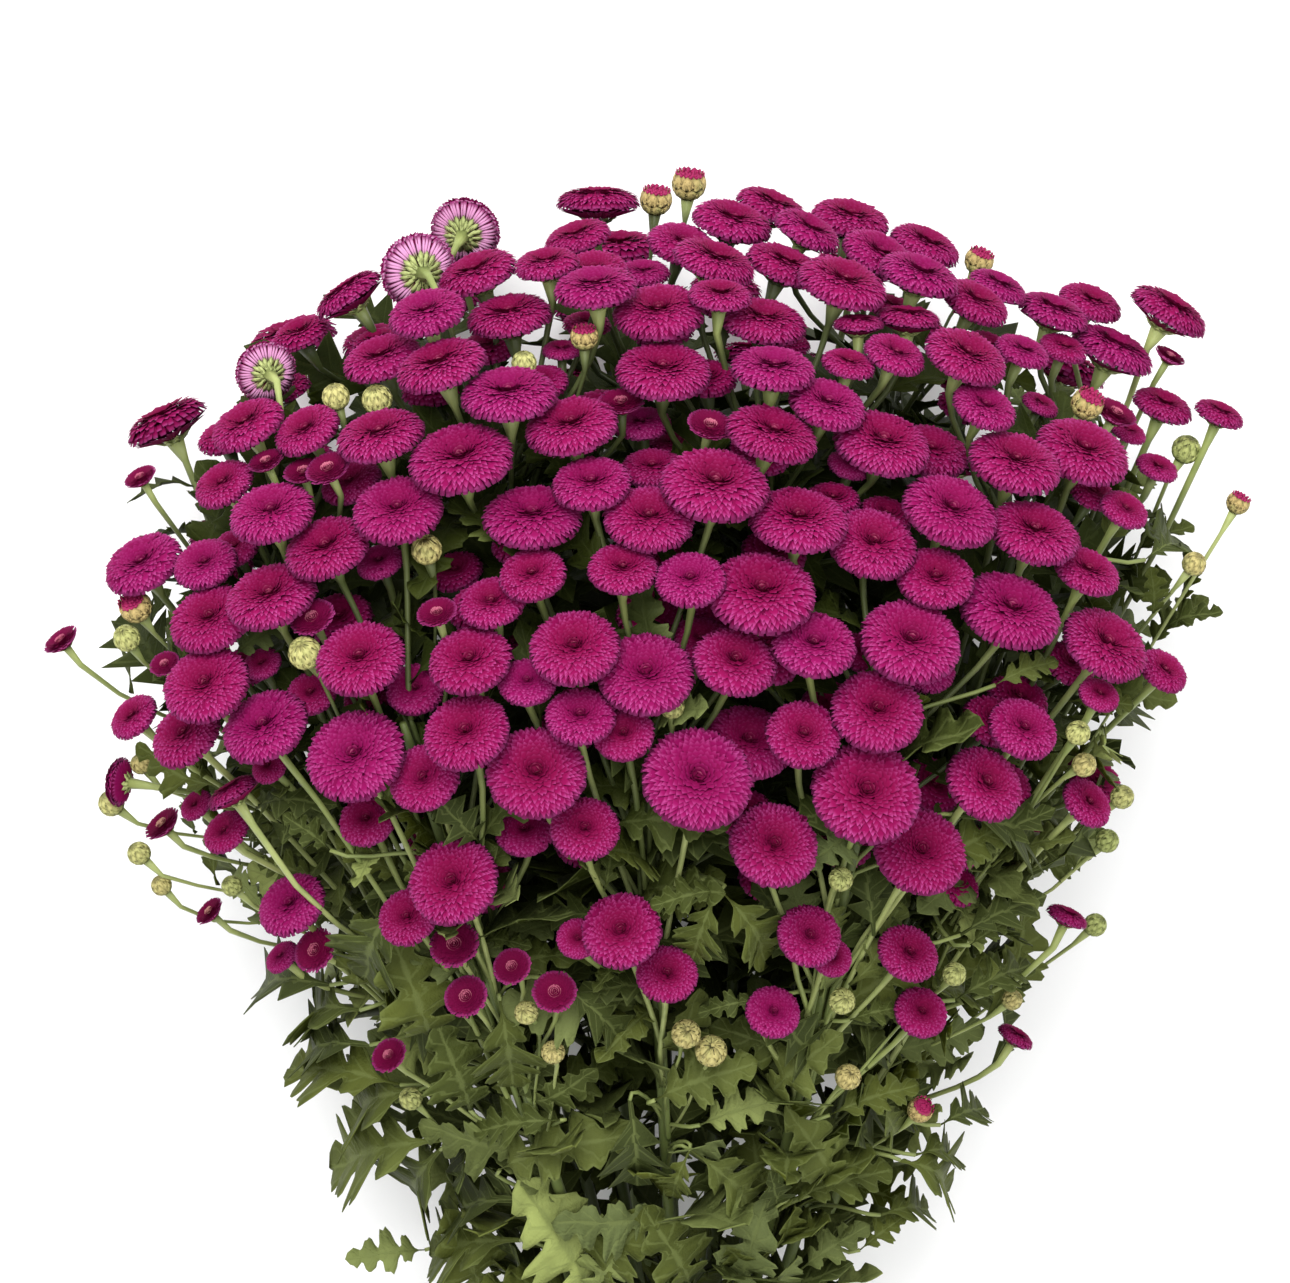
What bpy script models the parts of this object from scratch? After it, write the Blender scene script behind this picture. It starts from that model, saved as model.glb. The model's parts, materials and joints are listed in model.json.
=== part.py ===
"""A cut bunch of magenta pompon spray chrysanthemums, held by one band, lying on its back.

The bunch is laid out in a frame of its own, in metres: X across it, Y along its axis from the band
towards the blooms, Z out of its front. At the end it is tipped about X and lowered onto its back.
"""

import math

import bmesh
import bpy
import numpy as np
from mathutils import Matrix, Vector

# The head of the bunch, and the leafy cone below it.
HEAD_HALF_WIDTH = 0.212
HEAD_MIDDLE = 0.408
HEAD_CROWN = 0.146
FRONT_SHARE = 0.70
BACK_SHARE = 0.66
FOOT_HALF_WIDTH = 0.026
BAND_OFFSET = 0.016

# How far the blooms lean out of the bunch's axis, by how far up the crown they are.
LEAN_RISES = (-0.1, 0.35, 0.9)
LEANS = (math.radians(38), math.radians(23), math.radians(2))
LEAST_SIDE_LEAN = 0.42

# How it lies: its axis rises from the cut ends to the head, and what would go under is pressed flat.
TIP_ANGLE = math.radians(12.1)
AXIS_HEIGHT = 0.0385
PRESSED = 0.0012

# The stems: each row's lean towards the front, and its stems' leans to the right.
STEM_ROWS = (
    (0.27, (-0.18, 0.0, 0.18)),
    (0.11, (-0.27, -0.09, 0.09, 0.27)),
    (-0.05, (-0.36, -0.18, 0.0, 0.18, 0.36)),
    (-0.20, (-0.09, 0.09)),
)
STEM_MEET = 0.0278
STEM_RADIUS = 0.0024
STEM_BELOW_BAND = 0.125
BRANCHES_A_STEM = 3
BRANCH_SPANS = (math.radians(60), math.radians(165))
STEM_TOP_CLEAR = 0.0036
STEM_SIDES = 6

# Blooms: a flat dome of two rows of florets, with a dimple, on a green cup. Shares are of the radius,
# or of the dome's height.
BLOOM_HEIGHT_SHARE = 0.42
CROWN_SHARE = 0.68
CROWN_HEIGHT = 0.96
DIMPLE_HEIGHT = 0.84
RIM_NOTCH_SHARE = 0.80
RIM_HEIGHTS = (0.50, 0.40)
FLORETS_A_ROW = ((0.0150, 6), (0.0105, 5), (0.0, 4))
CUP_SHARE = 0.30
CUP_DEPTH = 0.009
BUD_SIDES = 5
BUD_SEAT_SHARE = 0.85
BUD_CUP_SHARE = 0.5

# Stalks, and the thin branch stems that they grow from, each beside its main stem.
STALK_RADIUS = 0.0011
STALK_SIDES = 3
STALK_REACH = 0.055
STALK_LEAN = 0.25
LOWEST_ROOT = 0.19
ROOT_STEPS = (0.0045, 0.014)
ROOT_GAP = 0.0003
RACHIS_HALF = 0.0012
RACHIS_ENDS = (0.003, 0.001)
RACHIS_LAP = 0.006

# Clearances between neighbours. Blooms of one branch may sink a little into each other.
CLEAR_SHARE = 0.46
BLOOM_CLEARANCE = 0.0006
BLOOM_OVERLAP = 0.0010
STALK_CLEARANCE = 0.0009
CELL_MARGIN = 0.003
ROUNDS = 90

# Leaves: how far each keeps from the rest and may stand out of the bunch, the lowest and the step up
# a stem, and the leans and lengths tried where one grows.
LEAF_MARGIN = 0.0022
LEAF_SAMPLE = 0.0042
LEAF_APART = 0.0058
LEAF_BEYOND = 0.005
LEAF_FORWARD = 0.022
LEAF_RIB = 0.0010
LEAVES_A_STEM = 10
LEAF_LOWEST = 0.085
LEAF_STEP = 0.014
LEAF_WIDTH_SHARE = 0.66
LEAF_TRIES = (
    (math.radians(66), 0.074),
    (math.radians(54), 0.068),
    (math.radians(42), 0.062),
    (math.radians(32), 0.054),
    (math.radians(22), 0.048),
)

# The band round the stems.
BAND_INSIDE_LONG = 0.0137
BAND_INSIDE_SHORT = 0.0099
BAND_THICKNESS = 0.0016
BAND_WIDTH = 0.012
BAND_SIDES = 24
BAND_FORWARD = 0.00125
BAND_BELOW = 0.008

# How the blooms' places were read: column and row of each bloom's middle in the 1290 x 1283 picture.
PICTURE_COLUMNS = 1290
PICTURE_ROWS = 1283
PICTURE_WIDTH = 0.464
VIEW_RISE = math.radians(28)
VIEW_DISTANCE = 2.0
VIEW_BELOW_HEAD = 0.015
DEEP_SETBACK = 0.026

# Column, row, diameter in millimetres.
FULL_BLOOMS = (
    (252, 422, 27), (308, 430, 24), (236, 478, 22), (392, 360, 28), (383, 435, 31), (285, 527, 30),
    (398, 511, 31), (331, 540, 30), (479, 280, 29), (507, 312, 30), (579, 245, 24), (552, 273, 23),
    (597, 270, 24), (640, 264, 19), (682, 246, 25), (722, 263, 30), (737, 218, 29), (772, 213, 27),
    (800, 242, 25), (783, 262, 28), (850, 220, 29), (618, 307, 29), (648, 328, 32), (716, 308, 22),
    (754, 319, 30), (435, 340, 27), (452, 370, 32), (500, 392, 33), (660, 363, 33), (573, 436, 32),
    (583, 466, 27), (463, 452, 36), (531, 500, 34), (705, 492, 37), (643, 519, 31), (775, 383, 29),
    (774, 425, 32), (880, 254, 27), (925, 246, 27), (920, 282, 29), (837, 289, 32), (975, 302, 26),
    (998, 288, 22), (1043, 310, 27), (1105, 308, 24), (1168, 314, 31), (1108, 345, 32), (895, 360, 22),
    (951, 374, 30), (850, 370, 19), (1022, 352, 20), (1157, 402, 23), (1210, 418, 19), (825, 405, 27),
    (877, 432, 34), (978, 408, 23), (1012, 449, 33), (1070, 443, 34), (1124, 510, 18), (950, 512, 34),
    (1033, 533, 32), (145, 566, 29), (195, 580, 23), (277, 594, 32), (208, 625, 30), (220, 676, 31),
    (134, 717, 19), (181, 733, 27), (262, 723, 31), (368, 656, 31), (357, 752, 35), (226, 832, 18),
    (527, 573, 23), (499, 604, 23), (466, 661, 29), (526, 683, 20), (577, 650, 31), (656, 660, 33),
    (738, 657, 29), (800, 655, 29), (468, 720, 30), (570, 725, 24), (618, 731, 21), (526, 765, 34),
    (694, 771, 38), (425, 793, 25), (448, 866, 32), (585, 829, 24), (774, 845, 31), (625, 577, 24),
    (685, 580, 24), (768, 583, 37), (775, 526, 34), (868, 540, 31), (1014, 604, 36), (1087, 572, 24),
    (928, 598, 27), (913, 635, 35), (1105, 645, 32), (1163, 671, 19), (1099, 695, 15), (878, 716, 32),
    (807, 732, 26), (868, 778, 38), (1016, 737, 25), (987, 779, 29), (1087, 803, 20), (925, 848, 33),
    (292, 908, 26), (282, 957, 14), (408, 917, 22), (619, 930, 28), (667, 974, 22), (773, 1012, 20),
    (810, 934, 23), (907, 953, 23), (921, 1012, 20), (836, 958, 15), (578, 938, 15),
)
DEEP_BLOOMS = (
    (355, 482, 22), (440, 306, 18), (558, 352, 14), (545, 387, 20), (638, 425, 20), (652, 468, 22),
    (985, 343, 19), (1062, 345, 18), (945, 445, 28), (1040, 405, 14), (852, 465, 16), (1157, 468, 16),
    (1128, 432, 14), (235, 548, 18), (262, 664, 14), (275, 770, 14), (196, 805, 13), (370, 820, 21),
    (320, 695, 18), (380, 562, 17), (745, 742, 31), (525, 830, 21), (405, 680, 21), (930, 672, 22),
    (700, 640, 20),
)
HALF_OPEN_BLOOMS = (
    (266, 463, 13), (300, 485, 14), (330, 472, 16), (622, 394, 16), (713, 425, 16), (1169, 358, 12),
    (1112, 413, 16), (313, 605, 16), (62, 641, 14), (168, 666, 11), (163, 825, 15), (441, 622, 14),
    (316, 948, 17), (210, 912, 12), (450, 946, 18), (466, 990, 16), (513, 968, 14), (384, 1050, 14),
    (555, 993, 16), (141, 478, 12),
)
# These turn another way than their place gives: the way they face, to the right, up and nearer in the view.
TURNED_BLOOMS = (
    (360, 302, 27, (-0.55, 0.80, 0.15)), (598, 203, 30, (0.0, 1.0, 0.15)), (858, 322, 18, (0.0, 1.0, 0.2)),
    (912, 326, 23, (0.1, 1.0, 0.2)), (130, 785, 18, (-0.8, 0.1, -0.3)), (240, 800, 20, (-0.5, 0.8, 0.1)),
    (1067, 917, 16, (0.4, 0.9, 0.2)), (1012, 1040, 15, (0.5, 0.8, 0.2)), (261, 375, 22, (-0.35, 0.3, -0.88)),
    (432, 272, 27, (-0.3, 0.2, -0.93)), (478, 243, 25, (0.2, 0.45, -0.87)),
)
BUDS = (
    (345, 396, 10), (378, 402, 11), (656, 200, 12), (689, 184, 13), (672, 300, 9), (582, 338, 10),
    (525, 362, 9), (979, 261, 11), (1195, 445, 11), (1090, 405, 12), (1238, 503, 9), (1194, 564, 9),
    (137, 605, 12), (127, 638, 10), (302, 645, 12), (135, 768, 8), (114, 802, 10), (412, 555, 11),
    (137, 856, 9), (675, 714, 9), (1078, 733, 9), (1084, 765, 9), (1122, 797, 9), (1107, 841, 9),
    (164, 883, 8), (232, 886, 8), (412, 1100, 9), (526, 1012, 9), (553, 1052, 9), (686, 1034, 11),
    (711, 1051, 12), (834, 1000, 10), (840, 880, 9), (848, 1077, 10), (1095, 925, 9), (960, 968, 9),
    (1012, 1000, 8), (920, 1110, 10),
)
# The blooms of the back, which the picture doesn't show, follow a golden-angle rule.
BACK_BLOOMS = 32
BACK_DIAMETERS = (0.033, 0.028, 0.035, 0.025, 0.031)

PETALS = ("petals", (0.42, 0.008, 0.16), 0.6)
GREEN = ("leaf_and_stem", (0.10, 0.16, 0.055), 0.65)
BAND = ("band", (0.55, 0.38, 0.2), 0.55)


def unit(vector):
    return vector / np.linalg.norm(vector, axis=-1, keepdims=True)


def frame_axes():
    """The view's right, up and towards-the-viewer directions in the bunch's own frame."""
    rise = VIEW_RISE
    right = np.array((1.0, 0.0, 0.0))
    up = np.array((0.0, math.cos(rise), -math.sin(rise)))
    near = np.array((0.0, math.sin(rise), math.cos(rise)))
    return right, up, near


RIGHT, UP, NEAR = frame_axes()
TARGET = np.array((0.0, HEAD_MIDDLE, 0.0)) - VIEW_BELOW_HEAD * UP
EYE = TARGET + VIEW_DISTANCE * NEAR


def sight_line(column, row):
    scale = PICTURE_WIDTH / PICTURE_COLUMNS
    seen = TARGET + RIGHT * (column - PICTURE_COLUMNS / 2) * scale
    seen = seen + UP * (PICTURE_ROWS / 2 - row) * scale
    return unit(seen - EYE)


def axis_x(along):
    """The bunch leans a little to the left as it rises from the band."""
    return BAND_OFFSET * (1 - along / HEAD_MIDDLE)


def half_width(along):
    """Half the width of the bunch: a cone up to the head's middle, then half an ellipse."""
    cone = FOOT_HALF_WIDTH + (HEAD_HALF_WIDTH - FOOT_HALF_WIDTH) * along / HEAD_MIDDLE
    rise = np.clip((along - HEAD_MIDDLE) / HEAD_CROWN, 0, 1)
    return np.where(along > HEAD_MIDDLE, HEAD_HALF_WIDTH * np.sqrt(1 - rise**2), cone)


def outside_head(points):
    """How far each point is outside the head's surface, level with itself."""
    across = points[..., 0] - axis_x(points[..., 1])
    out = points[..., 2]
    depth = out / np.where(out > 0, FRONT_SHARE, BACK_SHARE)
    return np.hypot(across, depth) - half_width(points[..., 1])


def place_seen(column, row, setback):
    """Where the sight line through a pixel meets the head, or where it passes nearest to it."""
    ray = sight_line(column, row)
    reach = np.linspace(VIEW_DISTANCE - 0.35, VIEW_DISTANCE + 0.35, 1401)
    outside = outside_head(EYE + reach[:, None] * ray)
    inside = np.nonzero(outside < 0)[0]
    first = inside[0] if len(inside) else int(np.argmin(outside))
    return EYE + (reach[first] + setback) * ray


def way_out(place, rng):
    """The way a bloom faces: along the bunch at its crown, and leaning outwards more and more lower down."""
    width = half_width(place[1])
    share = FRONT_SHARE if place[2] > 0 else BACK_SHARE
    aside = (place[0] - axis_x(place[1])) / width
    out = place[2] / (share * width)
    rise = (place[1] - HEAD_MIDDLE) / HEAD_CROWN
    lean = math.tan(np.interp(rise, LEAN_RISES, LEANS))
    face = np.array((max(lean, LEAST_SIDE_LEAN) * aside, 1.0, lean * out))
    return unit(unit(face) + rng.uniform(-0.1, 0.1, 3))


def lie(points):
    """From the bunch's own frame to the frame it lies in."""
    cos, sin = math.cos(TIP_ANGLE), math.sin(TIP_ANGLE)
    y = points[..., 1] * cos - points[..., 2] * sin
    z = points[..., 1] * sin + points[..., 2] * cos + AXIS_HEIGHT
    return np.stack((points[..., 0], y, z), axis=-1)


FLOOR_UP = np.array((0.0, math.sin(TIP_ANGLE), math.cos(TIP_ANGLE)))


def back_places():
    """Places on the head's back, one golden angle after another from its middle outwards."""
    places = []
    for index in range(BACK_BLOOMS):
        spread = math.sqrt((index + 0.5) / BACK_BLOOMS)
        turn = index * math.radians(137.508)
        across = 0.185 * spread * math.cos(turn)
        along = HEAD_MIDDLE + 0.012 + 0.098 * spread * math.sin(turn)
        width = float(half_width(along))
        side = min(abs(across) / width, 0.96)
        out = -BACK_SHARE * width * math.sqrt(1 - side * side)
        places.append(np.array((across + axis_x(along), along, out)))
    return places


def stem_lines():
    """The point where the stems' lines meet below the band, and their directions."""
    meet = np.array((axis_x(-STEM_MEET), -STEM_MEET, 0.0))
    lean = -BAND_OFFSET / HEAD_MIDDLE
    ways = []
    for out, leans in STEM_ROWS:
        for across in leans:
            ways.append(unit(np.array((across + lean, 1.0, out))))
    return meet, np.array(ways)


MEET, WAYS = stem_lines()


def stem_axes(stem):
    """A stem's direction, and two directions square to it: across, and out of the bunch's front."""
    way = WAYS[stem]
    across = unit(np.array((1.0, 0.0, 0.0)) - way * way[0])
    return way, across, np.cross(across, way)


def cell_walls(stem):
    """Each wall between this stem's wedge of space and another's, as the wall's inward direction."""
    others = np.delete(WAYS, stem, axis=0)
    return unit(WAYS[stem] - others)


WALLS = [cell_walls(stem) for stem in range(len(WAYS))]


def line_gaps(points, starts, ends):
    """The distance of each point from each straight line between a start and an end."""
    length = ends - starts
    apart = points[:, None, :] - starts[None, :, :]
    share = np.einsum("ijk,jk->ij", apart, length) / np.maximum((length**2).sum(axis=1), 1e-12)
    nearest = np.clip(share, 0, 1)[:, :, None] * length
    return np.linalg.norm(apart - nearest, axis=2)


class Head:
    """Every bloom and bud of the bunch: where it is, which way it faces, its size and its stem."""

    def __init__(self):
        self.place, self.face, self.radius, self.kind, self.ray = [], [], [], [], []
        rng = np.random.default_rng(11)
        for table, kind, setback in (
            (FULL_BLOOMS, "full", 0.0),
            (DEEP_BLOOMS, "full", DEEP_SETBACK),
            (HALF_OPEN_BLOOMS, "half", 0.0),
            (BUDS, "bud", 0.004),
        ):
            for column, row, millimetres in table:
                place = place_seen(column, row, setback)
                self.add(place, way_out(place, rng), millimetres, kind, sight_line(column, row))
        for column, row, millimetres, turn in TURNED_BLOOMS:
            place = place_seen(column, row, 0.0)
            face = unit(RIGHT * turn[0] + UP * turn[1] + NEAR * turn[2])
            kind = "pale" if turn[2] < -0.5 else "full"
            self.add(place, face, millimetres, kind, sight_line(column, row))
        for index, place in enumerate(back_places()):
            across = BACK_DIAMETERS[index % len(BACK_DIAMETERS)]
            self.add(place, way_out(place, rng), across * 1000, "full", -FLOOR_UP)
        self.place = np.array(self.place)
        self.face = np.array(self.face)
        self.radius = np.array(self.radius)
        self.ray = np.array(self.ray)
        self.stem = np.argmax(unit(self.place - MEET) @ WAYS.T, axis=1)
        self.branch = np.zeros(len(self.place), int)
        self.root = np.zeros((len(self.place), 3))
        self.walls = {}
        self.tops = []
        for stem in range(len(WAYS)):
            self.divide(stem)
        self.settle()
        self.tops = [self.clear_top(stem) for stem in range(len(WAYS))]
        self.rachis = {pair: self.branch_stem(*pair) for pair in self.walls if self.items_of(*pair).size}

    def add(self, place, face, millimetres, kind, ray):
        self.place.append(place)
        self.face.append(face)
        self.radius.append(millimetres / 2000)
        self.kind.append(kind)
        self.ray.append(ray)

    def thickness(self):
        """Half the thickness that each keeps clear: a bud is round."""
        share = np.where(np.array(self.kind) == "bud", 1.0, CLEAR_SHARE)
        return self.radius * share

    def seat(self, index):
        """Where the stalk's cup ends, a little way into the bloom or bud."""
        share = BUD_SEAT_SHARE if self.kind[index] == "bud" else BLOOM_HEIGHT_SHARE
        return self.place[index] - self.face[index] * self.radius[index] * share

    def cup(self, index):
        """The radius of the cup under a bloom or bud."""
        return self.radius[index] * (BUD_CUP_SHARE if self.kind[index] == "bud" else CUP_SHARE)

    def stalk(self, index):
        """The stalk's ends and bend: on its branch, below the cup, and at the cup's rim."""
        seat = self.seat(index)
        return self.root[index], seat - self.face[index] * CUP_DEPTH, seat

    def divide(self, stem):
        """Divides a stem's blooms and buds into branches, each a sector round the stem's line."""
        way, across, out = stem_axes(stem)
        items = np.nonzero(self.stem == stem)[0]
        from_meet = self.place[items] - MEET
        turns = np.arctan2(from_meet @ out, from_meet @ across) % math.tau
        steps = 36
        best = None
        for first in range(steps // BRANCHES_A_STEM + 1):
            for second in range(first + 1, steps):
                for third in range(second + 1, steps):
                    cuts = np.array((first, second, third)) * math.tau / steps
                    widths = np.diff(np.append(cuts, cuts[0] + math.tau))
                    if widths.min() < BRANCH_SPANS[0] or widths.max() > BRANCH_SPANS[1]:
                        continue
                    sector = np.searchsorted(cuts, turns) % BRANCHES_A_STEM
                    counts = np.bincount(sector, minlength=BRANCHES_A_STEM)
                    near = np.abs((turns[:, None] - cuts + math.pi) % math.tau - math.pi).min()
                    score = (counts**2).sum() - 20 * min(near, 0.1)
                    if best is None or score < best[0]:
                        best = (score, cuts, widths, sector)
        _, cuts, widths, sector = best
        self.branch[items] = sector
        reaches = from_meet @ way
        asides = np.linalg.norm(from_meet - reaches[:, None] * way, axis=1)
        wanted = reaches - STALK_REACH - STALK_LEAN * asides
        offset = STEM_RADIUS + ROOT_GAP + RACHIS_HALF
        heights = np.zeros(len(items))
        for branch in range(BRANCHES_A_STEM):
            middle = cuts[branch - 1] + widths[branch - 1] / 2
            aims = [cuts[branch - 1] + math.pi / 2, cuts[branch] - math.pi / 2, middle]
            after, before, aim = (across * math.cos(turn) + out * math.sin(turn) for turn in aims)
            self.walls[stem, branch] = np.vstack((WALLS[stem], after, before))
            mine = np.nonzero(sector == branch)[0]
            height = 0.0
            for order, item in enumerate(mine[np.argsort(wanted[mine])]):
                if order == 0:
                    height = max(wanted[item], LOWEST_ROOT)
                else:
                    height += float(np.clip(wanted[item] - height, *ROOT_STEPS))
                heights[item] = height
                self.root[items[item]] = MEET + way * height + aim * offset
        self.tops.append(float(heights.max()) + 0.002)

    def settle(self):
        """Nudges the blooms apart, mostly along the sight lines, until each is clear of its neighbours."""
        count = len(self.place)
        thick = self.thickness()
        turn = np.arange(180) * math.radians(137.508)
        level = 1 - (np.arange(180) + 0.5) / 180
        flat = np.sqrt(1 - level**2)
        probes = np.stack((flat * np.cos(turn), flat * np.sin(turn), level), axis=1)
        first, second = np.triu_indices(count, 1)
        for _ in range(ROUNDS):
            shift = np.zeros_like(self.place)
            tilt = self.face @ probes.T
            support = np.sqrt(
                self.radius[:, None] ** 2 * (1 - tilt**2) + thick[:, None] ** 2 * tilt**2
            )
            apart = self.place[second] - self.place[first]
            near = np.linalg.norm(apart, axis=1) < self.radius[first] + self.radius[second] + 0.003
            one, two = first[near], second[near]
            along = apart[near] @ probes.T
            gaps = np.abs(along) - support[one] - support[two]
            best = np.argmax(gaps, axis=1)
            rows = np.arange(len(one))
            gap = gaps[rows, best]
            push = probes[best] * np.sign(along[rows, best])[:, None]
            same = (self.stem[one] == self.stem[two]) & (self.branch[one] == self.branch[two])
            lack = np.where(same, -BLOOM_OVERLAP, BLOOM_CLEARANCE) - gap
            for index in np.nonzero(lack > 0)[0]:
                self.share(shift, one[index], two[index], push[index], lack[index])
            self.clear_stalks(shift, thick)
            self.keep_in_cells(shift)
            self.keep_off_floor(shift, thick)
            self.place = self.place + shift

    def items_of(self, stem, branch):
        return np.nonzero((self.stem == stem) & (self.branch == branch))[0]

    def branch_stem(self, stem, branch):
        """The ends of a branch's own thin stem, which starts beside the main one."""
        way = WAYS[stem]
        roots = self.root[self.items_of(stem, branch)]
        heights = (roots - MEET) @ way
        first, last = int(np.argmin(heights)), int(np.argmax(heights))
        down = max(RACHIS_ENDS[0], heights[first] - self.tops[stem] + RACHIS_LAP)
        return roots[first] - way * down, roots[last] + way * RACHIS_ENDS[1]

    def clear_top(self, stem):
        """The height up a stem's line at which it ends, below whatever comes near the line."""
        way = WAYS[stem]
        heights = np.arange(LOWEST_ROOT, self.tops[stem], 0.001)
        points = MEET + way * heights[:, None]
        starts, ends, keeps = self.stalk_lines()
        near = (line_gaps(points, starts, ends) < keeps + STEM_TOP_CLEAR - STALK_RADIUS).any(axis=1)
        near |= (self.bloom_depths(points, STEM_RADIUS + STALK_CLEARANCE) < 1).any(axis=1)
        low = self.root[self.stem == stem] @ way - MEET @ way
        near &= heights > low.min()
        return float(heights[near].min()) - 0.001 if near.any() else self.tops[stem]

    def stalk_lines(self):
        """Every stalk as two straight lines, with the thickness of each."""
        starts, ends, keeps = [], [], []
        for index in range(len(self.place)):
            root, neck, seat = self.stalk(index)
            starts += [root, neck]
            ends += [neck, seat]
            keeps += [STALK_RADIUS, self.cup(index)]
        return np.array(starts), np.array(ends), np.array(keeps)

    def bloom_depths(self, points, clear):
        """How far out in each bloom or bud each point is: under 1 where it is inside."""
        apart = points[:, None, :] - self.place[None, :, :]
        level = np.einsum("ijk,jk->ij", apart, self.face)
        flat = np.sqrt(np.maximum((apart**2).sum(axis=2) - level**2, 0))
        return np.hypot(flat / (self.radius + clear), level / (self.thickness() + clear))

    def ease(self, index):
        """How easily an item moves each way: best along the line it is seen along."""
        ray = self.ray[index]
        return 0.22 * np.eye(3) + 0.78 * np.outer(ray, ray)

    def share(self, shift, one, two, push, amount):
        """Moves two items apart by an amount along a direction, each in the way that it moves best."""
        ease_one, ease_two = self.ease(one), self.ease(two)
        give = push @ ease_one @ push + push @ ease_two @ push
        step = 0.5 * amount / give
        step = np.sign(step) * min(abs(step), 0.006)
        shift[one] -= ease_one @ push * step
        shift[two] += ease_two @ push * step

    def clear_stalks(self, shift, thick):
        """Keeps each bloom and bud off the other items' stalks and cups."""
        shares = np.array((0.30, 0.45, 0.6, 0.7, 0.8, 0.88, 0.94, 1.0))
        for index in range(len(self.place)):
            branch, neck, seat = self.stalk(index)
            points = branch + (neck - branch) * shares[:, None]
            cup = self.cup(index)
            points = np.vstack((points, neck + (seat - neck) * 0.5, seat - self.face[index] * 0.002))
            thickness = np.append(np.full(len(shares), STALK_RADIUS), (cup * 0.6, cup))
            apart = points[:, None, :] - self.place[None, :, :]
            level = np.einsum("ijk,jk->ij", apart, self.face)
            flat = np.sqrt(np.maximum((apart**2).sum(axis=2) - level**2, 0))
            wide = self.radius[None, :] + thickness[:, None] + STALK_CLEARANCE
            deep = thick[None, :] + thickness[:, None] + STALK_CLEARANCE
            inside = np.hypot(flat / wide, level / deep)
            inside[:, index] = 9.0
            for row, other in zip(*np.nonzero(inside < 1)):
                away = apart[row, other]
                reach = np.linalg.norm(away)
                slope = away / wide[row, other] ** 2
                slope = slope + self.face[other] * level[row, other] * (
                    1 / deep[row, other] ** 2 - 1 / wide[row, other] ** 2
                )
                push = unit(slope)
                amount = (1 / max(inside[row, other], 0.3) - 1) * reach * abs(push @ away) / reach
                self.share(shift, other, index, push, min(amount, 0.003))

    def keep_in_cells(self, shift):
        """Keeps each stalk in its own stem's wedge, so that stalks of two stems never cross."""
        for index, stem in enumerate(self.stem):
            walls = self.walls[stem, self.branch[index]]
            _, neck, seat = self.stalk(index)
            for point in (neck, seat):
                inside = (point - MEET) @ walls.T
                wall = int(np.argmin(inside))
                if inside[wall] < CELL_MARGIN:
                    shift[index] += walls[wall] * (CELL_MARGIN - inside[wall]) * 0.6

    def keep_off_floor(self, shift, thick):
        """Lifts what would go deeper into the surface that the bunch lies on than it is pressed."""
        tilt = self.face @ FLOOR_UP
        low = np.sqrt(self.radius**2 * (1 - tilt**2) + thick**2 * tilt**2)
        height = lie(self.place)[:, 2] - low
        lift = np.maximum(-PRESSED - height, 0)
        shift += lift[:, None] * FLOOR_UP * 0.8


def turn_to(direction, place):
    """A matrix that takes +Z to a direction and the origin to a place."""
    turn = Vector(direction).to_track_quat("Z", "Y").to_matrix().to_4x4()
    return Matrix.Translation(Vector(place)) @ turn


def new_object(name, bm, collection, material=None):
    mesh = bpy.data.meshes.new(name)
    bm.to_mesh(mesh)
    bm.free()
    obj = bpy.data.objects.new(name, mesh)
    collection.objects.link(obj)
    if material:
        mesh.materials.append(material)
    return obj


def ringed_sphere(bm, sides, rows):
    """Adds a unit sphere with its first meridian on +X, and gives back its corners."""
    made = bmesh.ops.create_uvsphere(bm, u_segments=sides, v_segments=rows, radius=1)["verts"]
    bmesh.ops.rotate(bm, verts=made, cent=(0, 0, 0), matrix=Matrix.Rotation(math.pi / 2, 3, "Z"))
    return made


def draw_bloom(bm, radius):
    """A dome of two rows of florets, the upper between the lower, with a dimple on top.

    It is left open underneath, and the edges round the opening are given back.
    """
    height = 2 * BLOOM_HEIGHT_SHARE * radius
    florets = next(florets for least, florets in FLORETS_A_ROW if radius > least)
    crown = bmesh.ops.create_circle(bm, cap_ends=True, cap_tris=True, segments=florets, radius=1)["verts"]
    crown_edges = [edge for edge in bm.edges if edge.is_boundary]
    rim = bmesh.ops.create_circle(bm, segments=2 * florets, radius=1)["verts"]
    rim_edges = [edge for edge in bm.edges if edge.verts[0] in rim]
    for vert in crown:
        share = CROWN_HEIGHT if vert.co.length > 0.5 else DIMPLE_HEIGHT
        vert.co *= radius * CROWN_SHARE
        vert.co.z = height * share
    for number, vert in enumerate(rim):
        is_tip = number % 2
        vert.co *= radius if is_tip else radius * RIM_NOTCH_SHARE
        vert.co.z = height * RIM_HEIGHTS[is_tip]
    bmesh.ops.bridge_loops(bm, edges=crown_edges + rim_edges)
    return rim_edges


def draw_bud(bm, radius):
    """A pointed bud, left open underneath."""
    bmesh.ops.create_circle(bm, cap_ends=True, cap_tris=True, segments=BUD_SIDES, radius=radius)
    opening = [edge for edge in bm.edges if edge.is_boundary]
    for vert in bm.verts:
        vert.co.z = 0 if vert.co.length > radius / 2 else radius
    return opening


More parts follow.
